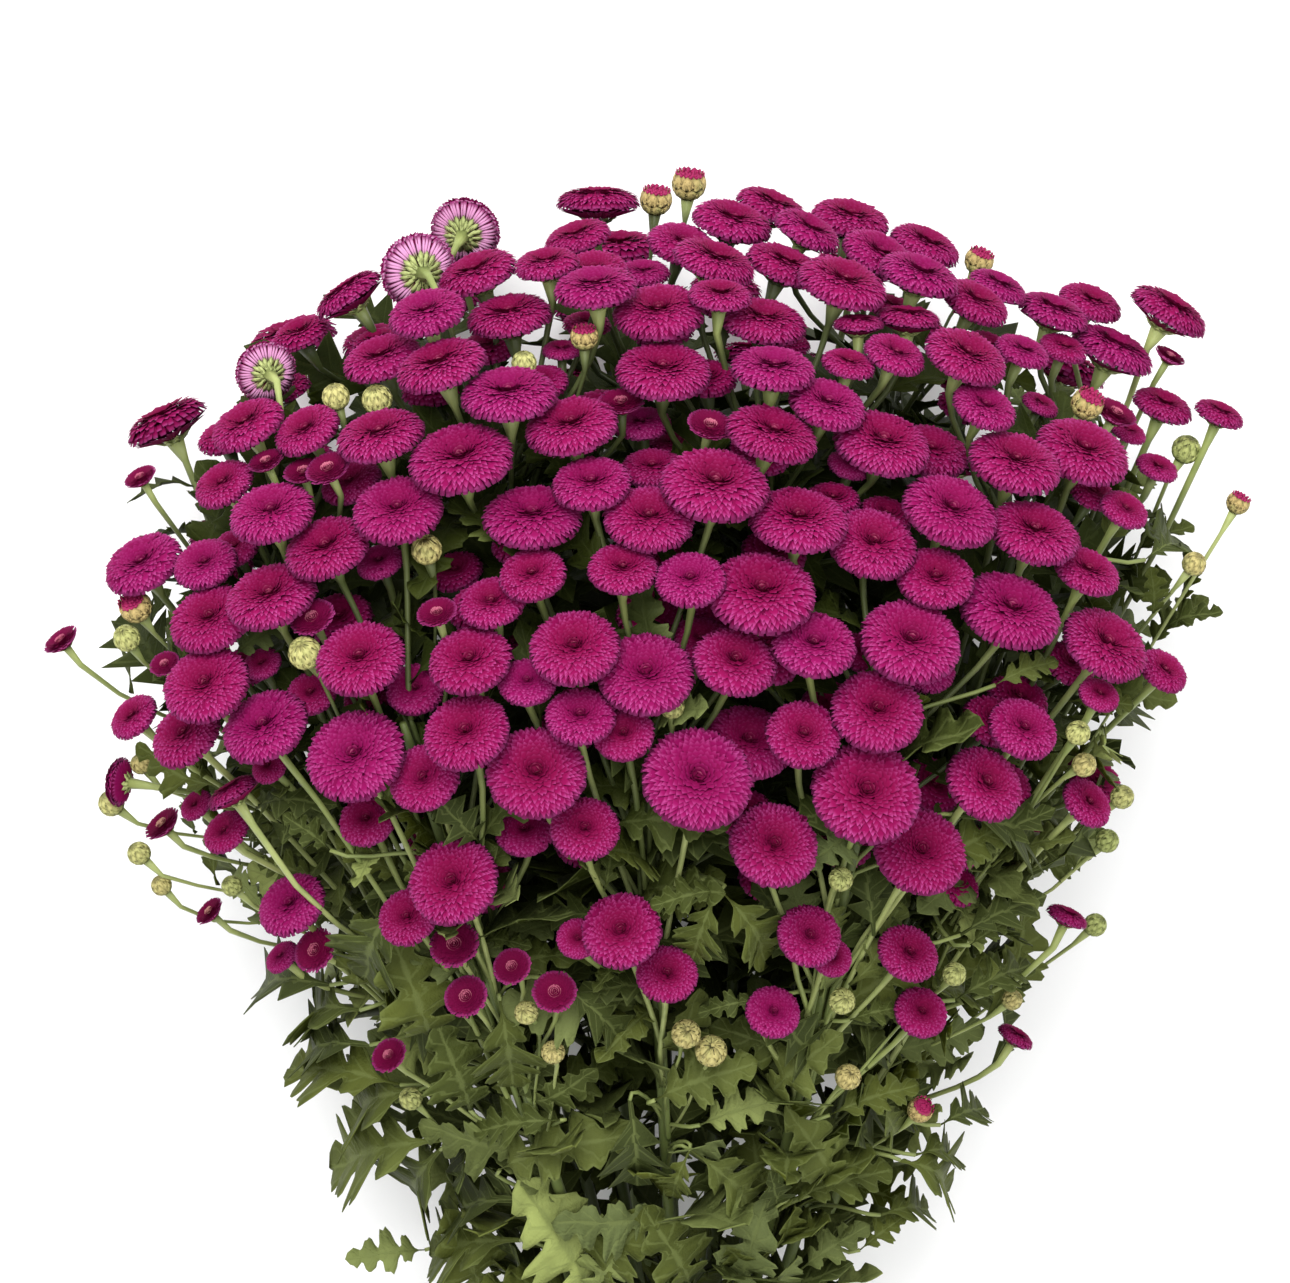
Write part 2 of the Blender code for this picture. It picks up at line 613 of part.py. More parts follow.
def draw_tube(bm, points, radii, sides):
    """Draws a ring along the points, and gives back the edges of its two open ends."""
    rings = [bmesh.ops.create_circle(bm, segments=sides, radius=1)["verts"]]
    start = [edge for edge in bm.edges if all(vert in rings[0] for vert in edge.verts)]
    end = start
    for _ in points[1:]:
        made = bmesh.ops.extrude_edge_only(bm, edges=end)["geom"]
        ring = [item for item in made if isinstance(item, bmesh.types.BMVert)]
        edges = [item for item in made if isinstance(item, bmesh.types.BMEdge)]
        end = [edge for edge in edges if all(vert in ring for vert in edge.verts)]
        rings.append(ring)
    points = [Vector(point) for point in points]
    ways = [(after - before).normalized() for before, after in zip(points, points[1:])]
    bends = [ways[0]] + [(one + two).normalized() for one, two in zip(ways, ways[1:])] + [ways[-1]]
    turn = bends[0].to_track_quat("Z", "Y")
    for number, (ring, place, radius, bend) in enumerate(zip(rings, points, radii, bends)):
        if number:
            turn = bends[number - 1].rotation_difference(bend) @ turn
        for vert in ring:
            vert.co = place + turn @ (vert.co * radius)
    return start, end


def tube(points, radii, sides):
    """A closed tube through the points."""
    bm = bmesh.new()
    for end in draw_tube(bm, points, radii, sides):
        bmesh.ops.contextual_create(bm, geom=end)
    bmesh.ops.recalc_face_normals(bm, faces=bm.faces)
    return bm


def leaf_shape(length, width):
    """A lobed blade along +X with its upper face up: a lens with two lobes a side and a pointed end."""
    bm = bmesh.new()
    ringed_sphere(bm, 10, 2)
    outline = {
        0: (1.0, 0.0, -0.10),
        36: (0.62, 0.14, 0.0),
        72: (0.70, 0.44, -0.06),
        108: (0.42, 0.16, 0.02),
        144: (0.33, 0.50, -0.06),
        180: (0.0, 0.0, 0.0),
    }
    for vert in bm.verts:
        if math.hypot(vert.co.x, vert.co.y) < 0.1:
            rib = math.copysign(LEAF_RIB, vert.co.z)
            vert.co = Vector((0.42 * length, 0, 0.03 * length + rib))
            continue
        turn = round(math.degrees(math.atan2(vert.co.y, vert.co.x)))
        along, aside, lift = outline[abs(turn)]
        vert.co = Vector((along * length, math.copysign(aside * width, turn), lift * length))
    return bm


def leaf_frame(place, way, face):
    """A matrix that puts a leaf's foot at a place, its blade along a way and its upper face to a face."""
    way = Vector(way).normalized()
    side = Vector(face).cross(way).normalized()
    face = way.cross(side)
    return Matrix.Translation(Vector(place)) @ Matrix((way, side, face)).transposed().to_4x4()


def leaf_points(frame, length, width):
    """Points spread closely over a leaf's blade, for testing what it touches."""
    points = []
    rows = round(length / LEAF_SAMPLE)
    for row in range(1, rows + 1):
        along = row / rows
        half = 0.5 * min(1.0, along / 0.3, (1.08 - along) / 0.35) * width
        columns = max(1, math.ceil(half / LEAF_SAMPLE))
        for column in range(-columns, columns + 1):
            aside = column / columns
            points.append(frame @ Vector((along * length, aside * half, -0.05 * length * abs(aside))))
    return np.array(points)


class Foliage:
    """Finds a place for each leaf where it touches nothing but its own stem."""

    def __init__(self, head):
        self.head = head
        starts, ends, keeps = head.stalk_lines()
        branches = np.array(list(head.rachis.values()))
        self.starts = np.vstack((starts, branches[:, 0]))
        self.ends = np.vstack((ends, branches[:, 1]))
        self.keeps = np.append(keeps, np.full(len(branches), RACHIS_HALF)) + LEAF_MARGIN
        self.stem_starts = np.repeat(MEET[None, :], len(WAYS), axis=0)
        self.stem_ends = MEET + WAYS * np.array(head.tops)[:, None]
        self.taken = np.zeros((0, 3))

    def fits(self, points, stem):
        """Whether a leaf with these points keeps off the flowers, other stems, leaves and the floor."""
        drawn_in = points - (0, 0, 1) * np.clip(points[:, 2:], 0, LEAF_FORWARD)
        if lie(points)[:, 2].min() < LEAF_MARGIN or outside_head(drawn_in).max() > LEAF_BEYOND:
            return False
        stem_gaps = np.delete(line_gaps(points, self.stem_starts, self.stem_ends), stem, axis=1)
        if stem_gaps.min() < STEM_RADIUS + LEAF_MARGIN:
            return False
        if (line_gaps(points, self.starts, self.ends) < self.keeps).any():
            return False
        if (self.head.bloom_depths(points, STALK_CLEARANCE) < 1).any():
            return False
        if len(self.taken):
            gaps = np.linalg.norm(points[:, None, :] - self.taken[None, :, :], axis=2)
            if gaps.min() < LEAF_APART:
                return False
        return True

    def grow(self):
        """Leaves of every stem, in rounds from the lowest up, each a golden turn on from the last."""
        found = [[] for _ in WAYS]
        reaches = [LEAF_LOWEST] * len(WAYS)
        numbers = list(range(len(WAYS)))
        middle = WAYS.mean(axis=0)
        growing = True
        while growing:
            growing = False
            for stem, way in enumerate(WAYS):
                if reaches[stem] > self.head.tops[stem] or len(found[stem]) >= LEAVES_A_STEM:
                    continue
                growing = True
                _, across, out = stem_axes(stem)
                outward = unit(way - middle + 0.001)
                turn = numbers[stem] * math.radians(137.508)
                sideways = across * math.cos(turn) + out * math.sin(turn)
                sideways = unit(sideways + 1.1 * (outward - way * (outward @ way)))
                numbers[stem] += 1
                for lean, length in LEAF_TRIES:
                    blade = way * math.cos(lean) + sideways * math.sin(lean)
                    face = way * math.sin(lean) - sideways * math.cos(lean)
                    foot = MEET + way * reaches[stem] + sideways * STEM_RADIUS * 0.6
                    frame = leaf_frame(foot, blade, face)
                    points = leaf_points(frame, length, length * LEAF_WIDTH_SHARE)
                    if self.fits(points, stem):
                        found[stem].append((frame, length))
                        self.taken = np.vstack((self.taken, points))
                        reaches[stem] += LEAF_STEP
                        break
                else:
                    reaches[stem] += LEAF_STEP / 3
        return found


def fuse(name, shapes, collection, material):
    """One body of many closed shapes: a Boolean union, applied, and its helpers removed."""
    helpers = bpy.data.collections.new(name + "_helpers")
    bpy.context.scene.collection.children.link(helpers)
    body = new_object(name, shapes[0], collection, material)
    for number, shape in enumerate(shapes[1:]):
        new_object(f"{name}_{number}", shape, helpers)
    if len(shapes) > 1:
        union = body.modifiers.new("fuse", "BOOLEAN")
        union.operand_type = "COLLECTION"
        union.collection = helpers
        union.operation = "UNION"
        union.solver = "MANIFOLD"
        graph = bpy.context.evaluated_depsgraph_get()
        whole = bpy.data.meshes.new_from_object(body.evaluated_get(graph))
        whole.name = name
        body.modifiers.clear()
        body.data = whole
    for helper in list(helpers.objects):
        bpy.data.objects.remove(helper, do_unlink=True)
    bpy.data.collections.remove(helpers)
    return body


def plain_material(name, colour, roughness):
    material = bpy.data.materials.new(name)
    material.use_nodes = True
    shader = material.node_tree.nodes["Principled BSDF"]
    shader.inputs["Base Color"].default_value = (*colour, 1)
    shader.inputs["Roughness"].default_value = roughness
    material.diffuse_color = (*colour, 1)
    return material


def main_stem(head, stem):
    """A cut stem: straight down below the band, then out along its own line to its last branch."""
    way = WAYS[stem]
    at_band = MEET + way * (STEM_MEET / way[1])
    cut_end = at_band - np.array((0, STEM_BELOW_BAND, 0))
    top = head.tops[stem]
    middle = MEET + way * top * 0.6
    radii = (STEM_RADIUS, STEM_RADIUS, STEM_RADIUS, STEM_RADIUS * 0.8)
    return tube((cut_end, at_band, middle, MEET + way * top), radii, STEM_SIDES)


def leafy_stem(head, stem, leaves, collection, material):
    shapes = [main_stem(head, stem)]
    for frame, length in leaves:
        leaf = leaf_shape(length, length * LEAF_WIDTH_SHARE)
        leaf.transform(frame)
        shapes.append(leaf)
    return fuse(f"leafy_stem_{stem + 1:02d}", shapes, collection, material)


def flower_shape(head, index):
    """One bloom or bud and its stalk, drawn as one skin that widens into a cup below the flower."""
    bm = bmesh.new()
    radius = head.radius[index]
    face = head.face[index]
    if head.kind[index] == "bud":
        opening = draw_bud(bm, radius)
        foot = head.place[index]
    else:
        opening = draw_bloom(bm, radius)
        foot = head.place[index] - face * radius * BLOOM_HEIGHT_SHARE
    bmesh.ops.transform(bm, matrix=turn_to(face, foot), verts=bm.verts)
    root, neck, seat = head.stalk(index)
    radii = (STALK_RADIUS, STALK_RADIUS, head.cup(index))
    start, end = draw_tube(bm, (root, neck, seat), radii, STALK_SIDES)
    bmesh.ops.contextual_create(bm, geom=start)
    bmesh.ops.bridge_loops(bm, edges=opening + end)
    bmesh.ops.triangulate(bm, faces=bm.faces)
    bmesh.ops.recalc_face_normals(bm, faces=bm.faces)
    return bm


def rachis_shape(way, low, high):
    """The thin branch stem between two points, square, with a flat side towards the main stem."""
    bm = bmesh.new()
    out = Vector(low - MEET - way * ((low - MEET) @ way)).normalized()
    way = Vector(way)
    turn = Matrix((out, way.cross(out), way)).transposed().to_4x4()
    size = Matrix.Diagonal((2 * RACHIS_HALF, 2 * RACHIS_HALF, (high - low) @ way, 1))
    bmesh.ops.create_cube(bm, size=1, matrix=Matrix.Translation((low + high) / 2) @ turn @ size)
    return bm


def branches_of(head, stem, collection, material):
    """The stem's flowering branches, each one body: a thin stem beside the main one, with its flowers."""
    made = []
    for branch, letter in zip(range(BRANCHES_A_STEM), "abc"):
        if (stem, branch) not in head.rachis:
            continue
        shapes = [rachis_shape(WAYS[stem], *head.rachis[stem, branch])]
        shapes.extend(flower_shape(head, index) for index in head.items_of(stem, branch))
        made.append(fuse(f"flowers_{stem + 1:02d}_{letter}", shapes, collection, material))
    return made


def make_band(collection, material):
    """The band: a flat strip drawn round the stems, a little wider than their bundle."""
    bm = bmesh.new()
    bmesh.ops.create_grid(bm, x_segments=1, y_segments=1, size=0.5)
    bmesh.ops.rotate(bm, verts=bm.verts, cent=(0, 0, 0), matrix=Matrix.Rotation(math.radians(90), 3, "X"))
    bmesh.ops.scale(bm, vec=(BAND_THICKNESS, 1, BAND_WIDTH), verts=bm.verts)
    bmesh.ops.translate(bm, vec=(BAND_INSIDE_LONG + BAND_THICKNESS / 2, 0, 0), verts=bm.verts)
    bmesh.ops.spin(
        bm,
        geom=bm.faces[:] + bm.edges[:] + bm.verts[:],
        cent=(0, 0, 0),
        axis=(0, 0, 1),
        angle=math.tau,
        steps=BAND_SIDES,
        use_merge=True,
    )
    bmesh.ops.scale(bm, vec=(1, BAND_INSIDE_SHORT / BAND_INSIDE_LONG, 1), verts=bm.verts)
    bmesh.ops.rotate(bm, verts=bm.verts, cent=(0, 0, 0), matrix=Matrix.Rotation(math.radians(90), 3, "X"))
    bmesh.ops.translate(bm, vec=(BAND_OFFSET, -BAND_BELOW, BAND_FORWARD), verts=bm.verts)
    bmesh.ops.remove_doubles(bm, verts=bm.verts, dist=1e-6)
    inner = [face for face in bm.faces if all(len(edge.link_faces) > 2 for edge in face.edges)]
    bmesh.ops.delete(bm, geom=inner, context="FACES_ONLY")
    bmesh.ops.recalc_face_normals(bm, faces=bm.faces)
    return new_object("band", bm, collection, material)


def laid_down():
    """The matrix that tips the bunch about X and lowers it onto its back."""
    return Matrix.Translation((0, 0, AXIS_HEIGHT)) @ Matrix.Rotation(TIP_ANGLE, 4, "X")


def press_flat(objects, cutters):
    """Cuts what reaches under the surface off flat, so that the bunch rests on small flat spots."""
    bm = bmesh.new()
    bmesh.ops.create_cube(bm, size=2, matrix=Matrix.Translation((0, 0, -1)))
    under = new_object("under_surface", bm, cutters)
    under.hide_render = True
    under.display_type = "WIRE"
    for obj in objects:
        if min(vert.co.z for vert in obj.data.vertices) < 0:
            cut = obj.modifiers.new("press flat", "BOOLEAN")
            cut.object = under
            cut.operation = "DIFFERENCE"
            cut.solver = "MANIFOLD"


def main():
    for obj in list(bpy.data.objects):
        bpy.data.objects.remove(obj, do_unlink=True)
    parts = bpy.data.collections.new("pompon_chrysanthemum_bunch")
    cutters = bpy.data.collections.new("cutters")
    for collection in (parts, cutters):
        bpy.context.scene.collection.children.link(collection)
    petals = plain_material(*PETALS)
    green = plain_material(*GREEN)
    head = Head()
    leaves = Foliage(head).grow()
    objects = []
    for stem in range(len(WAYS)):
        objects.append(leafy_stem(head, stem, leaves[stem], parts, green))
        objects.extend(branches_of(head, stem, parts, petals))
    objects.append(make_band(parts, plain_material(*BAND)))
    for obj in objects:
        obj.data.transform(laid_down())
    corners = np.array([vert.co for obj in objects for vert in obj.data.vertices])
    middle = (corners.min(axis=0) + corners.max(axis=0)) / 2
    for obj in objects:
        obj.data.transform(Matrix.Translation((-middle[0], -middle[1], 0)))
    press_flat(objects, cutters)


if __name__ == "__main__":
    main()
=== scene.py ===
"""A cut bunch of magenta pompon spray chrysanthemums, lying on its back: its finished looks.

The script is laid out as an add-on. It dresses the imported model: blooms of many florets, stalks with
cups and buds, leafy stems, the band round the stems, and the stage. Sizes are in metres.
"""

import functools
import json
import math

import bmesh
import bpy
import numpy as np
from bpy.props import FloatProperty, FloatVectorProperty, PointerProperty
from mathutils import Matrix, Vector

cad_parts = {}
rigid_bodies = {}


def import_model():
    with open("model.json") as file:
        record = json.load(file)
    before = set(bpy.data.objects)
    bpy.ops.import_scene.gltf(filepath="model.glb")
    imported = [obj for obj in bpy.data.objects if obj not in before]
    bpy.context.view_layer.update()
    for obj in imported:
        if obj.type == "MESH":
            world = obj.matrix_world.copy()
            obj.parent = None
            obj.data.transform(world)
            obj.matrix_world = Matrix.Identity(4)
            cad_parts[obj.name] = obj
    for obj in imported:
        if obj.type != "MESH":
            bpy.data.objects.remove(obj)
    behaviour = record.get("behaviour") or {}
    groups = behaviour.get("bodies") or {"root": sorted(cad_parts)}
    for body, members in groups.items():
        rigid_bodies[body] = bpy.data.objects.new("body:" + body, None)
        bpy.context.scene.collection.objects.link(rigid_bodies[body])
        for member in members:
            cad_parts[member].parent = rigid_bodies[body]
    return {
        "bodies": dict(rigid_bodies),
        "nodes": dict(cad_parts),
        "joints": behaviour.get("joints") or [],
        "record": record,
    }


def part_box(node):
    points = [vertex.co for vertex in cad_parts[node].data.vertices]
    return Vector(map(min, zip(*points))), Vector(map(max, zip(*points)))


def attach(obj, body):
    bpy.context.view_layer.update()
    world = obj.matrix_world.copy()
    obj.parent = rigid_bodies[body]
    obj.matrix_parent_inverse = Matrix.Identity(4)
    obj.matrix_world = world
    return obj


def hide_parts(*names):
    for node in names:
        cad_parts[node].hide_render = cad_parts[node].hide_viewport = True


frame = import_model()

bl_info = {
    "name": "Pompon Chrysanthemum Bunch",
    "version": (1, 0, 0),
    "blender": (4, 5, 0),
    "location": "View3D > Sidebar > Bunch",
    "description": "Dresses a cut bunch of pompon chrysanthemums: blooms, stalks, leaves, band and stage",
    "category": "Object",
}

# The head of the bunch, and the leafy cone below it.
HEAD_HALF_WIDTH = 0.212
HEAD_MIDDLE = 0.408
HEAD_CROWN = 0.146
FRONT_SHARE = 0.70
BACK_SHARE = 0.66
FOOT_HALF_WIDTH = 0.026
BAND_OFFSET = 0.016

# How far the blooms lean out of the bunch's axis, by how far up the crown they are.
LEAN_RISES = (-0.1, 0.35, 0.9)
LEANS = (math.radians(38), math.radians(23), math.radians(2))
LEAST_SIDE_LEAN = 0.42

# How it lies: its axis rises from the cut ends to the head, and what would go under is pressed flat.
TIP_ANGLE = math.radians(12.1)
AXIS_HEIGHT = 0.0385
PRESSED = 0.0012

# The stems: each row's lean towards the front, and its stems' leans to the right.
STEM_ROWS = (
    (0.27, (-0.18, 0.0, 0.18)),
    (0.11, (-0.27, -0.09, 0.09, 0.27)),
    (-0.05, (-0.36, -0.18, 0.0, 0.18, 0.36)),
    (-0.20, (-0.09, 0.09)),
)
STEM_MEET = 0.0278
STEM_RADIUS = 0.0024
STEM_BELOW_BAND = 0.125
BRANCHES_A_STEM = 3
BRANCH_SPANS = (math.radians(60), math.radians(165))
STEM_TOP_CLEAR = 0.0036
TOP_ABOVE_ROOT = 0.002
TOP_STEP = 0.001

# How a stem's blooms are divided into branches: the directions tried, and the worth of room at a cut.
BRANCH_CUTS = 36
CUT_WORTH = 20
CUT_CLEAR = 0.1

# The foot of a bloom below its middle, the seat of a bud's cup, and the cups, as shares of the radius.
BLOOM_HEIGHT_SHARE = 0.42
BUD_SEAT_SHARE = 0.85
CUP_SHARE = 0.30
BUD_CUP_SHARE = 0.5
CUP_DEPTH = 0.009

# Stalks, and the thin branch stems that they grow from, each beside its main stem.
STALK_RADIUS = 0.0011
STALK_REACH = 0.055
STALK_LEAN = 0.25
LOWEST_ROOT = 0.19
ROOT_STEPS = (0.0045, 0.014)
ROOT_GAP = 0.0003
RACHIS_HALF = 0.0012
RACHIS_ENDS = (0.003, 0.001)
RACHIS_LAP = 0.006

# Clearances between neighbours. Blooms of one branch may sink a little into each other.
CLEAR_SHARE = 0.46
BLOOM_CLEARANCE = 0.0006
BLOOM_OVERLAP = 0.0010
STALK_CLEARANCE = 0.0009
CELL_MARGIN = 0.003

# How the blooms are nudged apart, more easily along their lines of sight than across them.
ROUNDS = 90
PROBES = 180
NEIGHBOUR_MARGIN = 0.003
EASE_ACROSS, EASE_ALONG = 0.22, 0.78
MOST_STEP, MOST_STALK_STEP = 0.006, 0.003
CELL_PULL, FLOOR_LIFT = 0.6, 0.8
STALK_PROBES = (0.30, 0.45, 0.6, 0.7, 0.8, 0.88, 0.94, 1.0)
CUP_PROBE_DEPTH = 0.002
CUP_PROBE_SHARE = 0.6
DEEPEST_PROBE = 0.3
FAR_OFF = 9.0

# Leaves: how far each keeps from the rest and may stand out of the bunch, the lowest and the step up
# a stem, and the leans and lengths tried where one grows.
LEAF_MARGIN = 0.0022
LEAF_SAMPLE = 0.0042
LEAF_APART = 0.0058
LEAF_BEYOND = 0.005
LEAF_FORWARD = 0.022
LEAVES_A_STEM = 10
LEAF_LOWEST = 0.085
LEAF_STEP = 0.014
LEAF_WIDTH_SHARE = 0.66
LEAF_TRIES = ((66, 0.074), (54, 0.068), (42, 0.062), (32, 0.054), (22, 0.048))
# The plain blade that is tested: where its shoulders and its taper lie, and how far its sides hang.
LEAF_SHOULDER = 0.3
LEAF_TAPER_END, LEAF_TAPER = 1.08, 0.35
LEAF_HANG = 0.05
LEAF_OUTWARD = 1.1
LEAF_FOOT_SHARE = 0.6

GOLDEN_ANGLE = math.radians(137.508)

# How the blooms' places were read: column and row of each bloom's middle in the 1290 x 1283 picture.
PICTURE_COLUMNS = 1290
PICTURE_ROWS = 1283
PICTURE_WIDTH = 0.464
VIEW_RISE = math.radians(28)
VIEW_DISTANCE = 2.0
VIEW_BELOW_HEAD = 0.015
SIGHT_SPAN, SIGHT_STEPS = 0.35, 1401
DEEP_SETBACK = 0.026
BUD_SETBACK = 0.004
FACE_TREMBLE = 0.1

# Column, row, diameter in millimetres.
FULL_BLOOMS = (
    (252, 422, 27), (308, 430, 24), (236, 478, 22), (392, 360, 28), (383, 435, 31), (285, 527, 30),
    (398, 511, 31), (331, 540, 30), (479, 280, 29), (507, 312, 30), (579, 245, 24), (552, 273, 23),
    (597, 270, 24), (640, 264, 19), (682, 246, 25), (722, 263, 30), (737, 218, 29), (772, 213, 27),
    (800, 242, 25), (783, 262, 28), (850, 220, 29), (618, 307, 29), (648, 328, 32), (716, 308, 22),
    (754, 319, 30), (435, 340, 27), (452, 370, 32), (500, 392, 33), (660, 363, 33), (573, 436, 32),
    (583, 466, 27), (463, 452, 36), (531, 500, 34), (705, 492, 37), (643, 519, 31), (775, 383, 29),
    (774, 425, 32), (880, 254, 27), (925, 246, 27), (920, 282, 29), (837, 289, 32), (975, 302, 26),
    (998, 288, 22), (1043, 310, 27), (1105, 308, 24), (1168, 314, 31), (1108, 345, 32), (895, 360, 22),
    (951, 374, 30), (850, 370, 19), (1022, 352, 20), (1157, 402, 23), (1210, 418, 19), (825, 405, 27),
    (877, 432, 34), (978, 408, 23), (1012, 449, 33), (1070, 443, 34), (1124, 510, 18), (950, 512, 34),
    (1033, 533, 32), (145, 566, 29), (195, 580, 23), (277, 594, 32), (208, 625, 30), (220, 676, 31),
    (134, 717, 19), (181, 733, 27), (262, 723, 31), (368, 656, 31), (357, 752, 35), (226, 832, 18),
    (527, 573, 23), (499, 604, 23), (466, 661, 29), (526, 683, 20), (577, 650, 31), (656, 660, 33),
    (738, 657, 29), (800, 655, 29), (468, 720, 30), (570, 725, 24), (618, 731, 21), (526, 765, 34),
    (694, 771, 38), (425, 793, 25), (448, 866, 32), (585, 829, 24), (774, 845, 31), (625, 577, 24),
    (685, 580, 24), (768, 583, 37), (775, 526, 34), (868, 540, 31), (1014, 604, 36), (1087, 572, 24),
    (928, 598, 27), (913, 635, 35), (1105, 645, 32), (1163, 671, 19), (1099, 695, 15), (878, 716, 32),
    (807, 732, 26), (868, 778, 38), (1016, 737, 25), (987, 779, 29), (1087, 803, 20), (925, 848, 33),
    (292, 908, 26), (282, 957, 14), (408, 917, 22), (619, 930, 28), (667, 974, 22), (773, 1012, 20),
    (810, 934, 23), (907, 953, 23), (921, 1012, 20), (836, 958, 15), (578, 938, 15),
)
DEEP_BLOOMS = (
    (355, 482, 22), (440, 306, 18), (558, 352, 14), (545, 387, 20), (638, 425, 20), (652, 468, 22),
    (985, 343, 19), (1062, 345, 18), (945, 445, 28), (1040, 405, 14), (852, 465, 16), (1157, 468, 16),
    (1128, 432, 14), (235, 548, 18), (262, 664, 14), (275, 770, 14), (196, 805, 13), (370, 820, 21),
    (320, 695, 18), (380, 562, 17), (745, 742, 31), (525, 830, 21), (405, 680, 21), (930, 672, 22),
    (700, 640, 20),
)
HALF_OPEN_BLOOMS = (
    (266, 463, 13), (300, 485, 14), (330, 472, 16), (622, 394, 16), (713, 425, 16), (1169, 358, 12),
    (1112, 413, 16), (313, 605, 16), (62, 641, 14), (168, 666, 11), (163, 825, 15), (441, 622, 14),
    (316, 948, 17), (210, 912, 12), (450, 946, 18), (466, 990, 16), (513, 968, 14), (384, 1050, 14),
    (555, 993, 16), (141, 478, 12),
)
# These turn another way than their place gives: the way they face, to the right, up and nearer in the view.
TURNED_BLOOMS = (
    (360, 302, 27, (-0.55, 0.80, 0.15)), (598, 203, 30, (0.0, 1.0, 0.15)), (858, 322, 18, (0.0, 1.0, 0.2)),
    (912, 326, 23, (0.1, 1.0, 0.2)), (130, 785, 18, (-0.8, 0.1, -0.3)), (240, 800, 20, (-0.5, 0.8, 0.1)),
    (1067, 917, 16, (0.4, 0.9, 0.2)), (1012, 1040, 15, (0.5, 0.8, 0.2)), (261, 375, 22, (-0.35, 0.3, -0.88)),
    (432, 272, 27, (-0.3, 0.2, -0.93)), (478, 243, 25, (0.2, 0.45, -0.87)),
)
BUDS = (
    (345, 396, 10), (378, 402, 11), (656, 200, 12), (689, 184, 13), (672, 300, 9), (582, 338, 10),
    (525, 362, 9), (979, 261, 11), (1195, 445, 11), (1090, 405, 12), (1238, 503, 9), (1194, 564, 9),
    (137, 605, 12), (127, 638, 10), (302, 645, 12), (135, 768, 8), (114, 802, 10), (412, 555, 11),
    (137, 856, 9), (675, 714, 9), (1078, 733, 9), (1084, 765, 9), (1122, 797, 9), (1107, 841, 9),
    (164, 883, 8), (232, 886, 8), (412, 1100, 9), (526, 1012, 9), (553, 1052, 9), (686, 1034, 11),
    (711, 1051, 12), (834, 1000, 10), (840, 880, 9), (848, 1077, 10), (1095, 925, 9), (960, 968, 9),
    (1012, 1000, 8), (920, 1110, 10),
)
# The blooms of the back, which the picture doesn't show, follow a golden-angle rule.
BACK_BLOOMS = 32
BACK_DIAMETERS = (0.033, 0.028, 0.035, 0.025, 0.031)
BACK_HALF_WIDTH, BACK_HALF_HEIGHT = 0.185, 0.098
BACK_RISE = 0.012
BACK_EDGE = 0.96
# A turned bloom that faces this far away from the viewer is pale.
PALE_FROM = -0.5


def unit(vector):
    return vector / np.linalg.norm(vector, axis=-1, keepdims=True)


def frame_axes():
    """The view's right, up and towards-the-viewer directions in the bunch's own frame."""
    right = np.array((1.0, 0.0, 0.0))
    up = np.array((0.0, math.cos(VIEW_RISE), -math.sin(VIEW_RISE)))
    near = np.array((0.0, math.sin(VIEW_RISE), math.cos(VIEW_RISE)))
    return right, up, near


RIGHT, UP, NEAR = frame_axes()
TARGET = np.array((0.0, HEAD_MIDDLE, 0.0)) - VIEW_BELOW_HEAD * UP
EYE = TARGET + VIEW_DISTANCE * NEAR


def sight_line(column, row):
    """The direction in which a pixel of the picture is seen."""
    scale = PICTURE_WIDTH / PICTURE_COLUMNS
    seen = TARGET + RIGHT * (column - PICTURE_COLUMNS / 2) * scale
    seen = seen + UP * (PICTURE_ROWS / 2 - row) * scale
    return unit(seen - EYE)


def axis_x(along):
    """The bunch leans a little to the left as it rises from the band."""
    return BAND_OFFSET * (1 - along / HEAD_MIDDLE)


def half_width(along):
    """Half the width of the bunch: a cone up to the head's middle, then half an ellipse."""
    cone = FOOT_HALF_WIDTH + (HEAD_HALF_WIDTH - FOOT_HALF_WIDTH) * along / HEAD_MIDDLE
    rise = np.clip((along - HEAD_MIDDLE) / HEAD_CROWN, 0, 1)
    return np.where(along > HEAD_MIDDLE, HEAD_HALF_WIDTH * np.sqrt(1 - rise**2), cone)


def outside_head(points):
    """How far each point is outside the head's surface, level with itself."""
    across = points[..., 0] - axis_x(points[..., 1])
    out = points[..., 2]
    depth = out / np.where(out > 0, FRONT_SHARE, BACK_SHARE)
    return np.hypot(across, depth) - half_width(points[..., 1])


def place_seen(column, row, setback):
    """Where the sight line through a pixel meets the head, or where it passes nearest to it."""
    ray = sight_line(column, row)
    reach = np.linspace(VIEW_DISTANCE - SIGHT_SPAN, VIEW_DISTANCE + SIGHT_SPAN, SIGHT_STEPS)
    outside = outside_head(EYE + reach[:, None] * ray)
    inside = np.nonzero(outside < 0)[0]
    first = inside[0] if len(inside) else int(np.argmin(outside))
    return EYE + (reach[first] + setback) * ray


def way_out(place, rng):
    """The way a bloom faces: along the bunch at its crown, and leaning outwards more and more lower down."""
    width = half_width(place[1])
    share = FRONT_SHARE if place[2] > 0 else BACK_SHARE
    aside = (place[0] - axis_x(place[1])) / width
    out = place[2] / (share * width)
    rise = (place[1] - HEAD_MIDDLE) / HEAD_CROWN
    lean = math.tan(np.interp(rise, LEAN_RISES, LEANS))
    face = np.array((max(lean, LEAST_SIDE_LEAN) * aside, 1.0, lean * out))
    return unit(unit(face) + rng.uniform(-FACE_TREMBLE, FACE_TREMBLE, 3))


